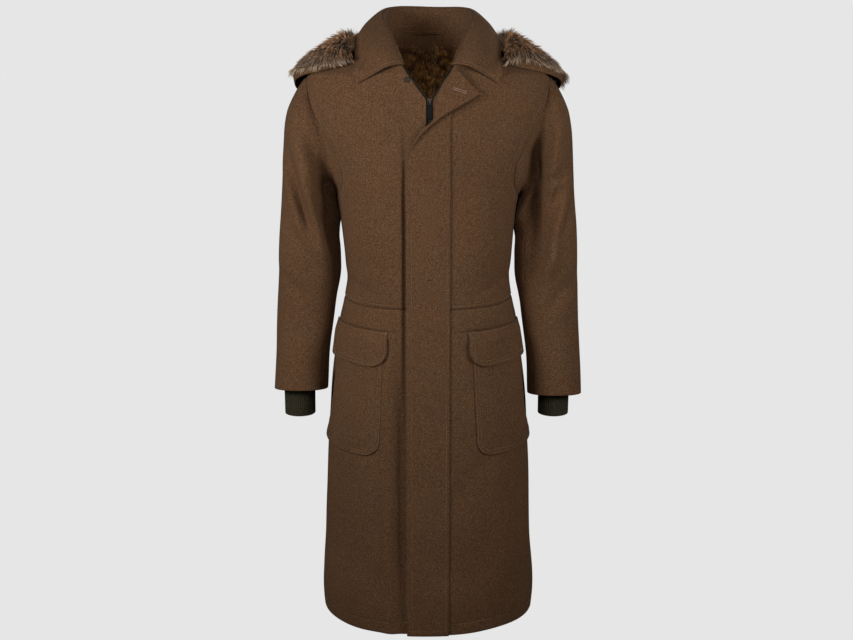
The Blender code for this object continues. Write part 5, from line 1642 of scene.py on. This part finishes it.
HOOD_PILE = fur_look("hood_fur", (0.06, 0.026, 0.012), (0.56, 0.26, 0.1),
                     ((0.6, 0.72, 0.8, (0.33, 0.23, 0.175)), (0.88, 0.97, 0.95, (0.72, 0.56, 0.39))),
                     (0.68, 0.48, 0.31), 0.45)
# The lining's band is a paler gold stripe: painted highlight along a ridge of the fur, which is not built
LINING_PILE = fur_look("lining_fur", (0.22, 0.08, 0.022), (0.98, 0.46, 0.12),
                       ((0.3, 0.9, 0.8, (0.95, 0.56, 0.2)),), (0.9, 0.46, 0.15), 0.45)
print("fur materials", HOOD_PILE.name, LINING_PILE.name)

# %% Hood fur and lining
PILE_BACKING = 0.4
HOOD_PILE_DENSITY = 150000.0
HOOD_PILE_LENGTH = 0.0165
# The hood's hair lies flatter towards its rim
FLOW_LEAST = 0.45
FLOW_MORE = 0.9
FLOW_RISE = 1.6
FLOW_START = 0.4
OVERHANG = 0.005
OVERHANG_MOST = 0.8
OVERHANG_ROWS = 8
END_TURN = 20.0
END_REACH = 0.019
END_STEPS = np.array((1.0, 0.67, 0.33))
END_FLOW = 1.1
END_SHORTER = 0.1
LINING_DENSITY = 120000.0
LINING_LENGTH = 0.013
FUR_LINING = 0.009
LINING_LOWER = -0.272
LINING_UPPER = -0.004
LINING_MARGIN = 3 / 16
LINING_COLUMNS = 48
LINING_ROWS = 50
NECK_SEARCH = 801
STAND_FUR = (0.02, 0.2)
STAND_FUR_ROWS = 8
# Place and width of the painted highlight along a ridge of the lining fur
RIDGE_HIGHLIGHT_PLACE = 0.01
RIDGE_HIGHLIGHT_WIDTH = 0.006


def past_ends(grid, reach):
    """A grid with more columns past each end, at shares of a reach."""
    steps = reach * END_STEPS[:, None]
    before = grid[:, :1] + unit(grid[:, :1] - grid[:, 1:2]) * steps
    after = grid[:, -1:] + unit(grid[:, -1:] - grid[:, -2:-1]) * steps[::-1]
    return np.concatenate((before, grid, after), axis=1)


def carried_on(values, rows, columns):
    """Values on a grid, with those of its last row and its end columns given to more rows and columns."""
    more = [(0, rows), (columns, columns)] + [(0, 0)] * (values.ndim - 2)
    return np.pad(values, more, mode="edge")


def fur_piece(node, outer, inner, flow, band, pile, material, slot, sizes, more_rows, end_reach=0.0):
    """Backing and locks of one fur, with roots past the backing on more rows and past the ends."""
    backing = inner + (outer - inner) * PILE_BACKING
    cloth_wall(node, backing, inner, [material], slot)
    backing = np.concatenate((backing, more_rows))
    if end_reach:
        backing = past_ends(backing, end_reach)
    more = len(more_rows), len(END_STEPS) if end_reach else 0
    faces = grid_faces(*backing.shape[:2], False)
    normal = np.cross(backing[1, 1] - backing[0, 0], backing[1, 0] - backing[0, 1])
    if normal @ (outer - inner)[0, 0] < 0:
        faces = faces[:, ::-1]
    ground = new_mesh_object(f"{node}_ground", backing.reshape(-1, 3), faces)
    add_attribute(ground.data, "flow", carried_on(flow, *more), "FLOAT_VECTOR")
    add_attribute(ground.data, "band", carried_on(band, *more))
    add_attribute(ground.data, "pile", carried_on(pile, *more))
    values = {"Lock": hair_lock, "Material": material, **sizes}
    grown(f"{node}_pile", FUR, ground, values)


fur_outer, fur_inner = (part_seam(grid, (-1,), rows=True, gap=LAY_GAP)
                        for grid in hood_walls(0.0, RIM, FUR_ROWS, fur_depth))
fur_place = np.broadcast_to(np.linspace(0, 1, FUR_ROWS)[:, None], fur_outer.shape[:2])
fur_lie = FLOW_LEAST + FLOW_MORE * np.clip(fur_place * FLOW_RISE - FLOW_START, 0, 1)
at_end = np.clip(1 - (half_turn(HOOD_ANGLES) - HOOD_FRONT) / END_TURN, 0, 1)
to_end = unit(np.gradient(fur_outer, axis=1)) * np.where(HOOD_ANGLES < 2 * SIDE, -at_end, at_end)[:, None]
fur_flow = unit(np.gradient(fur_outer, axis=0)) * fur_lie[..., None] + END_FLOW * to_end
fur_pile = np.broadcast_to(1.0 - END_SHORTER * at_end, fur_place.shape)
rim_run = np.linalg.norm(np.diff(pouch[0], axis=0), axis=-1)
rim_run = np.concatenate((np.zeros((1, HOOD_STATIONS)), np.cumsum(rim_run, axis=0)))
hang = np.linspace(0, 1, OVERHANG_ROWS)[:, None] * np.minimum(OVERHANG, OVERHANG_MOST * rim_run[-1])
overhang = np.stack([np.stack([np.interp(hang[:, column], rim_run[:, column], pouch[0][:, column, axis])
                               for column in range(HOOD_STATIONS)], -1) for axis in range(3)], -1)
fur_piece("hood_fur", fur_outer, fur_inner, fur_flow, fur_place, fur_pile, HOOD_PILE, "hood_fur",
          {"Density": HOOD_PILE_DENSITY, "Length": HOOD_PILE_LENGTH, "Lift": 0.5, "Tousle": 0.42, "Seed": 11},
          overhang, END_REACH)

lining_heights = np.linspace(LINING_LOWER, LINING_UPPER, LINING_ROWS)
lining_start = np.interp(lining_heights, ARMHOLE["height"],
                         depth_angle(ARMHOLE["back"], ARMHOLE["height"], back=True))
lining_start = np.where(lining_heights > ARMHOLE["height"][-1], SIDE, lining_start)
lining_margin = (4 * SIDE - 2 * lining_start) * LINING_MARGIN
lining_angles = spread(lining_start + lining_margin, 4 * SIDE - lining_start - lining_margin, LINING_COLUMNS)
lining_depth = -(CLOTH + LAY_GAP)
lining_back, lining_face = layers(lining_angles, lining_heights, lining_depth, lining_depth - FUR_LINING)
neck_shares = np.linspace(-1, 1, NECK_SEARCH)
neck_line = collar_path(neck_shares, 0.0)
to_neck = np.linalg.norm(neck_line[None] - lining_back[-1][:, None], axis=-1)
lining_shares = neck_shares[to_neck.argmin(axis=1)][None, :]
stand_places = np.linspace(*STAND_FUR, STAND_FUR_ROWS)[:, None]
stand_roots = collar_surface(lining_shares, stand_places, CLOTH)
lining_flow = -unit(np.gradient(lining_face, axis=0))
# Painted highlight: a paler gold stripe along a ridge of the lining fur
lining_ridge_highlight = np.exp(-((lining_face[..., 0] - RIDGE_HIGHLIGHT_PLACE) / RIDGE_HIGHLIGHT_WIDTH) ** 2)
fur_piece("lining_back", lining_face, lining_back, lining_flow, lining_ridge_highlight, np.ones(lining_angles.shape),
          LINING_PILE, "lining_fur",
          {"Density": LINING_DENSITY, "Length": LINING_LENGTH, "Lift": 0.6, "Tousle": 0.45, "Seed": 23},
          stand_roots)
bpy.data.objects.remove(hair_lock)

# %% [markdown]
# ## Zip
# Two woven tapes lie behind the front edges and part at the slider, so they show as a V in the open neck.
# Each carries a row of moulded teeth. A tree walks along the edge of a tape and puts one tooth at each pitch.


# %% Rows along a path
def row_tree():
    """One item again and again along a path, with its back to the cloth."""
    tree = geometry_tree("row_along_path", Object="Item", Float="Pitch", Vector="Size", Material="Material")
    given = tree_step(tree, "NodeGroupInput").outputs
    path = tree_step(tree, "GeometryNodeMeshToCurve", {"Mesh": given["Geometry"]}).outputs[0]
    evenly = tree_step(tree, "GeometryNodeResampleCurve", {"Curve": path, "Length": given["Pitch"]},
                       mode="LENGTH")
    along = tree_step(tree, "GeometryNodeInputTangent").outputs[0]
    turned = turned_to(tree, stored(tree, "facing", "FLOAT_VECTOR"), along)
    items = placed(tree, given["Item"], evenly.outputs[0], turned, given["Size"])
    put_out(tree, items, given["Material"])
    return tree


ROW = row_tree()


def row_piece(name, paths, item, pitch, size, material):
    """A piece made of items along paths; a path is its points and the way that the cloth faces at each."""
    points = np.concatenate([path for path, _ in paths])
    facing = np.concatenate([way for _, way in paths])
    edges, start = [], 0
    for path, _ in paths:
        edges += [(start + index, start + index + 1) for index in range(len(path) - 1)]
        start += len(path)
    mesh = bpy.data.meshes.new(f"{name}_path")
    mesh.from_pydata(points.tolist(), edges, [])
    add_attribute(mesh, "facing", facing, "FLOAT_VECTOR")
    values = {"Item": item, "Pitch": pitch, "Size": size, "Material": material}
    return grown(name, ROW, linked(mesh.name, mesh), values)


print("row tree", len(ROW.nodes), "nodes")


# %% Zip tapes and teeth
GLOSS_SPAN = 0.08


def enamel(name, base, worn_colour, roughness, metallic):
    """Painted or plated metal, a little uneven in colour and gloss."""
    material, tree, shader = principled(name)
    place = object_place(tree)
    cloud = noise(tree, place, 420.0, 3.0)
    rub = noise(tree, place, 1500.0, 2.0)
    colour = turning(tree, base, worn_colour, cloud, 0.4, 0.75, most=0.6)
    gloss = ramp(tree, rub, 0.3, 0.7, roughness - GLOSS_SPAN, roughness + GLOSS_SPAN)
    fill(tree, shader, {"Base Color": colour, "Roughness": gloss, "Metallic": metallic,
                        "Specular IOR Level": 0.2})
    return material


GUNMETAL = enamel("zip_gunmetal", (0.052, 0.045, 0.033), (0.1, 0.088, 0.066), 0.5, 0.6)
BLACK_ENAMEL = enamel("pull_enamel", (0.003, 0.003, 0.003), (0.006, 0.006, 0.006), 0.62, 0.0)
TOOTH = enamel("zip_tooth", (0.03, 0.024, 0.015), (0.06, 0.05, 0.034), 0.5, 0.3)
BUTTON_METAL = enamel("button_metal", (0.05, 0.044, 0.034), (0.026, 0.022, 0.016), 0.55, 0.8)

TAPE_WIDTH = 0.015
TAPE_THICKNESS = 0.0012
TAPE_SHOW = 0.004
TAPE_FOOT = -1.0691
TAPE_ROWS = 120
TAPE_COLUMNS = 9
TAPE_ROUND = 0.0007
TAPE_PARTING = 0.008
TOOTH_BEVEL = 0.22
TOOTH_PITCH = 0.0026
TOOTH_SIZE = (0.0012, 0.0032, 0.0022)


def bevelled_block(name, bevel):
    """A unit block with cut corners along its length."""
    profile = [(-0.5, -0.5 + bevel), (-0.5, 0.5 - bevel), (-0.5 + bevel, 0.5), (0.5 - bevel, 0.5),
               (0.5, 0.5 - bevel), (0.5, -0.5 + bevel), (0.5 - bevel, -0.5), (-0.5 + bevel, -0.5)]
    count = len(profile)
    points = [(x, y, z) for y in (-0.5, 0.5) for x, z in profile]
    faces = [(i, (i + 1) % count, (i + 1) % count + count, i + count) for i in range(count)]
    faces += [tuple(range(count))[::-1], tuple(range(count, 2 * count))]
    return new_mesh_object(name, points, faces, rounded=False)


tape_heights = np.linspace(TAPE_FOOT, NECK_FRONT, TAPE_ROWS)
parting = np.clip((tape_heights - SLIDER_HEIGHT) / TAPE_PARTING, 0, 1)
tape_inside = (ZIP_EDGE - SEAM_GAP / 2) + (TAPE_SHOW - ZIP_EDGE + SEAM_GAP / 2) * parting
tape_depth = -(CLOTH + 2 * LAY_GAP)
tape_depths = tape_depth, tape_depth - TAPE_THICKNESS
tooth = bevelled_block("tooth", TOOTH_BEVEL)
teeth_paths = []
for name, side in SIDES.items():
    edge = front_edge(tape_heights, side)
    x = spread(edge - side * tape_inside, edge + side * (TAPE_WIDTH - TAPE_SHOW), TAPE_COLUMNS)
    face, behind = layers(front_angle(x, tape_heights[:, None]), tape_heights, *tape_depths)
    cloth_wall(f"zip_tape_{name}", face, behind, [TAPE], "zip_tape", rounding=TAPE_ROUND)
    teeth_paths.append((face[:, 0], unit(face - behind)[:, 0]))
row_piece("zip_teeth", teeth_paths, tooth, TOOTH_PITCH, TOOTH_SIZE, TOOTH)
bpy.data.objects.remove(tooth)
for node, metal in (("zip_slider", GUNMETAL), ("zip_pull", BLACK_ENAMEL)):
    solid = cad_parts[node]
    solid.data.materials.clear()
    solid.data.materials.append(metal)
print("zip teeth rows", len(teeth_paths))

# %% [markdown]
# ## Button
# The neck button is a pressed metal cap with a raised rim. Its outline is turned round its middle.

# %% Button
BUTTON_RADIUS = 0.0052
BUTTON_THICKNESS = 0.0024
BUTTON_PLACE = (-0.039, -0.052)
BUTTON_SIDES = 48
BUTTON_PROFILE = table(
    "radius height",
    (0.9, 0.0), (0.97, 0.1), (1.0, 0.3), (1.0, 0.62), (0.95, 0.85), (0.86, 0.97), (0.78, 1.0),
    (0.7, 0.93), (0.62, 0.84), (0.35, 0.8), (0.12, 0.79),
)
button_x, button_z = (np.array(value) for value in BUTTON_PLACE)
button_angle = front_angle(button_x, button_z)
button_out = body_normal(button_angle, button_z)
button_seat = off_body(button_angle, button_z, SEAM_GAP)
button_across = unit(np.cross(np.array((0.0, 0.0, 1.0)), button_out))
button_up = np.cross(button_out, button_across)
button_turn = np.linspace(0, 2 * math.pi, BUTTON_SIDES, endpoint=False)[:, None]
button_round = np.cos(button_turn) * button_across + np.sin(button_turn) * button_up
button_points = np.concatenate([button_seat + button_round * radius * BUTTON_RADIUS
                                + button_out * height * BUTTON_THICKNESS
                                for radius, height in zip(*BUTTON_PROFILE.values())])
button_rings = len(BUTTON_PROFILE["radius"])
button_sides = grid_faces(button_rings, BUTTON_SIDES, True).tolist()
button_ends = [list(range(BUTTON_SIDES))[::-1],
               list(range((button_rings - 1) * BUTTON_SIDES, button_rings * BUTTON_SIDES))]
button = new_mesh_object("neck_button_cap", button_points, button_sides + button_ends, [BUTTON_METAL])
on_coat(button, "neck_button")
print("button faces", len(button.data.polygons))

# %% [markdown]
# ## Sewing
# Rows of stitches hold the seams flat and edge the flaps, the pockets and the collar. A row is a line a
# little inside a panel's border. It is seated on the panel's own surface, and the tree that made the zip's
# teeth puts one stitch at each pitch.

# %% Lines of sewing
THREAD_RISE = 0.0002
STITCH_PITCH = 0.0034
STITCH_SIZE = (0.00135, 0.00042, 0.00034)
STITCH_SIDES = 4
STITCH_SHOULDER = 0.55
THREAD_DULL = 0.6


def thread(name, colour):
    material, tree, shader = principled(name)
    twist = noise(tree, object_place(tree), 1800.0, 1.0)
    dull = tuple(THREAD_DULL * part for part in colour)
    fill(tree, shader, {"Base Color": turning(tree, dull, colour, twist, 0.35, 0.65), "Roughness": 0.75,
                        "Specular IOR Level": 0.2})
    return material


THREAD = thread("thread", (0.37, 0.245, 0.153))
BEIGE_THREAD = thread("buttonhole_thread", (0.48, 0.32, 0.22))


def stitch_item():
    """A short rounded thread with pointed ends, of unit half sizes."""
    turn = np.linspace(0, 2 * math.pi, STITCH_SIDES, endpoint=False)
    rings = [np.stack((np.full(STITCH_SIDES, x), np.cos(turn), np.sin(turn)), -1)
             for x in (-STITCH_SHOULDER, STITCH_SHOULDER)]
    points = np.concatenate((*rings, ((-1.0, 0.0, 0.0), (1.0, 0.0, 0.0))))
    sides = grid_faces(2, STITCH_SIDES, True)[:, ::-1].tolist()
    start, end = 2 * STITCH_SIDES, 2 * STITCH_SIDES + 1
    here = np.arange(STITCH_SIDES)
    beside = (here + 1) % STITCH_SIDES
    ends = [(start, *pair) for pair in zip(here, beside)]
    ends += [(end, *pair) for pair in zip(STITCH_SIDES + beside, STITCH_SIDES + here)]
    return new_mesh_object("stitch", points, sides + [face[::-1] for face in ends])


def seated(node, line):
    """A line put on the face of a panel, with the way that the panel faces."""
    found = [SHELLS[node].find_nearest(Vector(point)) for point in line]
    facing = np.array([tuple(hit[1]) for hit in found])
    return np.array([tuple(hit[0]) for hit in found]) + facing * THREAD_RISE, facing


def inside_line(node, border, towards, inset):
    """A line of sewing a distance inside a border; towards is further in."""
    along = unit(np.gradient(border, axis=0))
    inward = towards - border
    inward = unit(inward - (inward * along).sum(axis=-1, keepdims=True) * along)
    return seated(node, border + inward * inset)


ARMHOLE_INSETS = (0.008, 0.015)
POCKET_FLAP_INSETS = (0.005, 0.0115)
POCKET_FLAP_TOP_INSET = 0.003
PATCH_INSETS = (0.002, 0.009)
COLLAR_INSET = 0.007
FLAP_INSET = 0.011
FLAP_SEWN_TOP = -0.195
FLAP_FOOT_INSET = 0.012
FLAP_SEAM_INSET = 0.0065
FLAP_SEAM_SEWN_TOP = -0.105
FLAP_MARGIN = 0.001
PLACKET_INSET = 0.0125
PLACKET_FOOT = -0.17
PLACKET_TOP = -0.05
HOOD_INSET = 0.005
LOOP_INSET = 0.0012
FRAME_PLACE = 1.07
FRAME_REACH = 0.34
FRAME_POINTS = 60
lines = []


def sew(node, border, further, inset):
    """Adds a line of sewing inside a border of a panel; both places are picked from the panel's grid."""
    lines.append(inside_line(node, GRIDS[node][border], GRIDS[node][further], inset))


in_armhole = (upper >= ARMHOLE["height"][0]) & (upper <= ARMHOLE["height"][-1])
for name, side in SIDES.items():
    for node, inset in ((f"front_upper_{name}", WAIST_STITCH), (f"front_skirt_{name}", HEM_STITCH)):
        bare = np.abs(GRIDS[node][0, :, 0]) > FLAP_SEAM + FLAP_MARGIN
        sew(node, np.s_[0, bare], np.s_[6, bare], inset)
    edge, further = (0, 12) if side > 0 else (-1, -13)
    for inset in ARMHOLE_INSETS:
        sew(f"front_upper_{name}", np.s_[in_armhole, -1], np.s_[in_armhole, -12], inset)
        sew("back_upper", np.s_[in_armhole, edge], np.s_[in_armhole, further], inset)
    for part, insets in (("pocket_patch", PATCH_INSETS), ("pocket_flap", POCKET_FLAP_INSETS)):
        grid = GRIDS[f"{part}_{name}"]
        border = np.concatenate((grid[-2:2:-1, 0], grid[2, :1], grid[0, 1:-1]))
        middle = grid[grid.shape[0] // 2, grid.shape[1] // 2]
        lines += [inside_line(f"{part}_{name}", border, middle, inset) for inset in insets]
    sew(f"pocket_flap_{name}", np.s_[-1, 1:-1], np.s_[-6, 1:-1], POCKET_FLAP_TOP_INSET)
sew("back_upper", 0, 6, WAIST_STITCH)
sew("back_skirt", 0, 6, HEM_STITCH)
below_roll = flap_heights < FLAP_SEWN_TOP
below_lapel = flap_heights < FLAP_SEAM_SEWN_TOP
sew("storm_flap", np.s_[below_roll, 0], np.s_[below_roll, 12], FLAP_INSET)
sew("storm_flap", np.s_[below_lapel, -1], np.s_[below_lapel, -12], FLAP_SEAM_INSET)
sew("storm_flap", 0, 8, FLAP_FOOT_INSET)
placket = (upper > PLACKET_FOOT) & (upper < PLACKET_TOP)
sew("front_upper_left", np.s_[placket, 0], np.s_[placket, 8], PLACKET_INSET)
sew("collar_leaf", np.s_[-1, 4:-4], np.s_[-8, 4:-4], COLLAR_INSET)
sew("collar_leaf", np.s_[8:-4, 0], np.s_[8:-4, 8], COLLAR_INSET)
sew("collar_leaf", np.s_[8:-4, -1], np.s_[8:-4, -9], COLLAR_INSET)
frame_share = np.linspace(-FRAME_REACH, FRAME_REACH, FRAME_POINTS)[None, :]
frame_line = collar_surface(frame_share, np.full((1, 1), FRAME_PLACE), CLOTH)[0]
lines.append(seated("collar_stand", frame_line))
sew("hanger_loop", 0, 3, LOOP_INSET)
sew("hanger_loop", -1, -4, LOOP_INSET)
for edge, further in ((0, 6), (-1, -7)):
    sew("hanger_loop", np.s_[:, edge], np.s_[:, further], LOOP_INSET)
    sew("hood_centre", np.s_[1:-1, edge], np.s_[1:-1, further], HOOD_INSET)
sew("hood_side_left", np.s_[1:-1, 0], np.s_[1:-1, 6], HOOD_INSET)
sew("hood_side_right", np.s_[1:-1, -1], np.s_[1:-1, -7], HOOD_INSET)
stitch = stitch_item()
stitching = row_piece("stitching", lines, stitch, STITCH_PITCH, STITCH_SIZE, THREAD)
print("rows of sewing", len(lines), "faces", len(stitching.data.polygons))

# %% [markdown]
# ## Buttonhole and bar tacks
# The buttonhole on the turned corner is a keyhole: two close rows of thread and an eye at the outer end. The
# ends of the pocket flaps and of the hanger loop are held by bar tacks, short rows of close stitches.

# %% Buttonhole and bar tacks
BUTTONHOLE_START = (0.0465, -0.0665)
BUTTONHOLE_EYE = (0.068, -0.0745)
BUTTONHOLE_HALF = 0.0016
EYE_RADIUS = 0.0021
EYE_TURN = 2.6
EYE_POINTS = 25
LEG_POINTS = 20
LEG_END = 0.85
SATIN_PITCH = 0.0005
SATIN_SIZE = (0.00045, 0.0008, 0.0003)
TACK_LENGTH = 0.006
TACK_SIZE = (0.0004, 0.0012, 0.00045)
TACK_POINTS = 8


def on_lapel(flat_line):
    """A line in the front view put on the turned corner, whose facing side shows."""
    points, facing = [], []
    for x, z in flat_line:
        hit, normal, _, _ = SHELLS["storm_flap"].ray_cast(Vector((x, -1.0, z)), Vector((0.0, 1.0, 0.0)))
        outward = -normal if normal.y > 0 else normal
        points.append(tuple(hit + outward * (CLOTH + THREAD_RISE)))
        facing.append(tuple(outward))
    return np.array(points), np.array(facing)


hole_start, hole_eye = np.array(BUTTONHOLE_START), np.array(BUTTONHOLE_EYE)
hole_way = unit(hole_eye - hole_start)
hole_side = np.array((-hole_way[1], hole_way[0]))
hole_across = hole_side * BUTTONHOLE_HALF
eye_turn = np.linspace(EYE_TURN, -EYE_TURN, EYE_POINTS)[:, None]
eye_ring = hole_eye + EYE_RADIUS * (np.cos(eye_turn) * hole_way + np.sin(eye_turn) * hole_side)
leg = np.linspace(0, 1, LEG_POINTS)[:, None]
leg_end = hole_eye - hole_way * EYE_RADIUS * LEG_END
keyhole = np.concatenate((hole_start + hole_across + leg * (leg_end - hole_start), eye_ring,
                          leg_end - hole_across + leg * (hole_start - leg_end)))
row_piece("buttonhole", [on_lapel(keyhole)], stitch, SATIN_PITCH, SATIN_SIZE, BEIGE_THREAD)
tacks = []
tack_run = np.array((0.0, 0.0, -TACK_LENGTH))
for name in SIDES:
    start = GRIDS[f"pocket_flap_{name}"][-2, 1]
    tacks.append(seated(f"pocket_flap_{name}", np.linspace(start, start + tack_run, TACK_POINTS)))
loop = GRIDS["hanger_loop"]
for column in (1, -2):
    tacks.append(seated("hanger_loop", np.linspace(loop[1, column], loop[-2, column], TACK_POINTS)))
row_piece("bar_tacks", tacks, stitch, SATIN_PITCH, TACK_SIZE, THREAD)
bpy.data.objects.remove(stitch)
print("buttonhole points", len(keyhole), "bar tacks", len(tacks))

# %% [markdown]
# ## Painted shadow in the pocket slits
# The outer edge of each patch is open for the hand, and the shade in that opening shows as a narrow dark
# line.
# That is painted shadow: a near-black strip on the skirt under the edge and past it, tapering to both ends.

# %% Pocket slits
SLIT_LEVELS = (-0.748, -0.608)
SLIT_ANGLES = (-2.6, 10.0)
SLIT_LIFTS = (0.0009, 0.0003)
SLIT_ROWS = 30
SLIT_COLUMNS = 8
SLIT_LEAST = 0.1
SLIT_ROUND = 0.0004
# Painted shadow: a near-black cloth that stands for the shade inside each pocket's open edge
PAINTED_SLIT_SHADOW = felted("pocketing", (0.007, 0.006, 0.005), (0.014, 0.012, 0.01), (0.003, 0.003, 0.002),
                   (0.008, 0.006, 0.004), 0.2, 0.0, (0.5, 0.5, 0.5))
slit_heights = np.linspace(*SLIT_LEVELS, SLIT_ROWS)
slit_middle = np.radians(np.interp(slit_heights, POCKET_SIDE["height"], POCKET_SIDE["angle"]))
slit_taper = SLIT_LEAST + (1 - SLIT_LEAST) * np.sin(np.linspace(0, math.pi, SLIT_ROWS))
slit_start, slit_end = np.radians(SLIT_ANGLES)
for name, side in SIDES.items():
    angles = side * spread(slit_middle + slit_start, slit_middle + slit_end * slit_taper, SLIT_COLUMNS)
    faces = worn(*layers(angles, slit_heights, *SLIT_LIFTS), BODY_CREASES)
    cloth_wall(f"pocket_slit_{name}", *faces, [PAINTED_SLIT_SHADOW], rounding=SLIT_ROUND, solid=False)
print("slits", len(SIDES))

# %% [markdown]
# ## Cut sizes
# The size that every panel was cut to is printed: its width, its length and its area. The sizes come from
# the panels themselves, along their longest rows and columns.

# %% Cut sizes
# The narrow hanger loop is cut wider, for its turned-in edges
NARROW_CUT = 0.0102
for node, piece in CLOTHS.items():
    width, length, area = FLAT_SIZES[node]
    if length < NARROW_CUT:
        area, length = area * NARROW_CUT / length, NARROW_CUT
    print(node, "cut", round(width, 3), "x", round(length, 3), "m, area", round(area, 4))
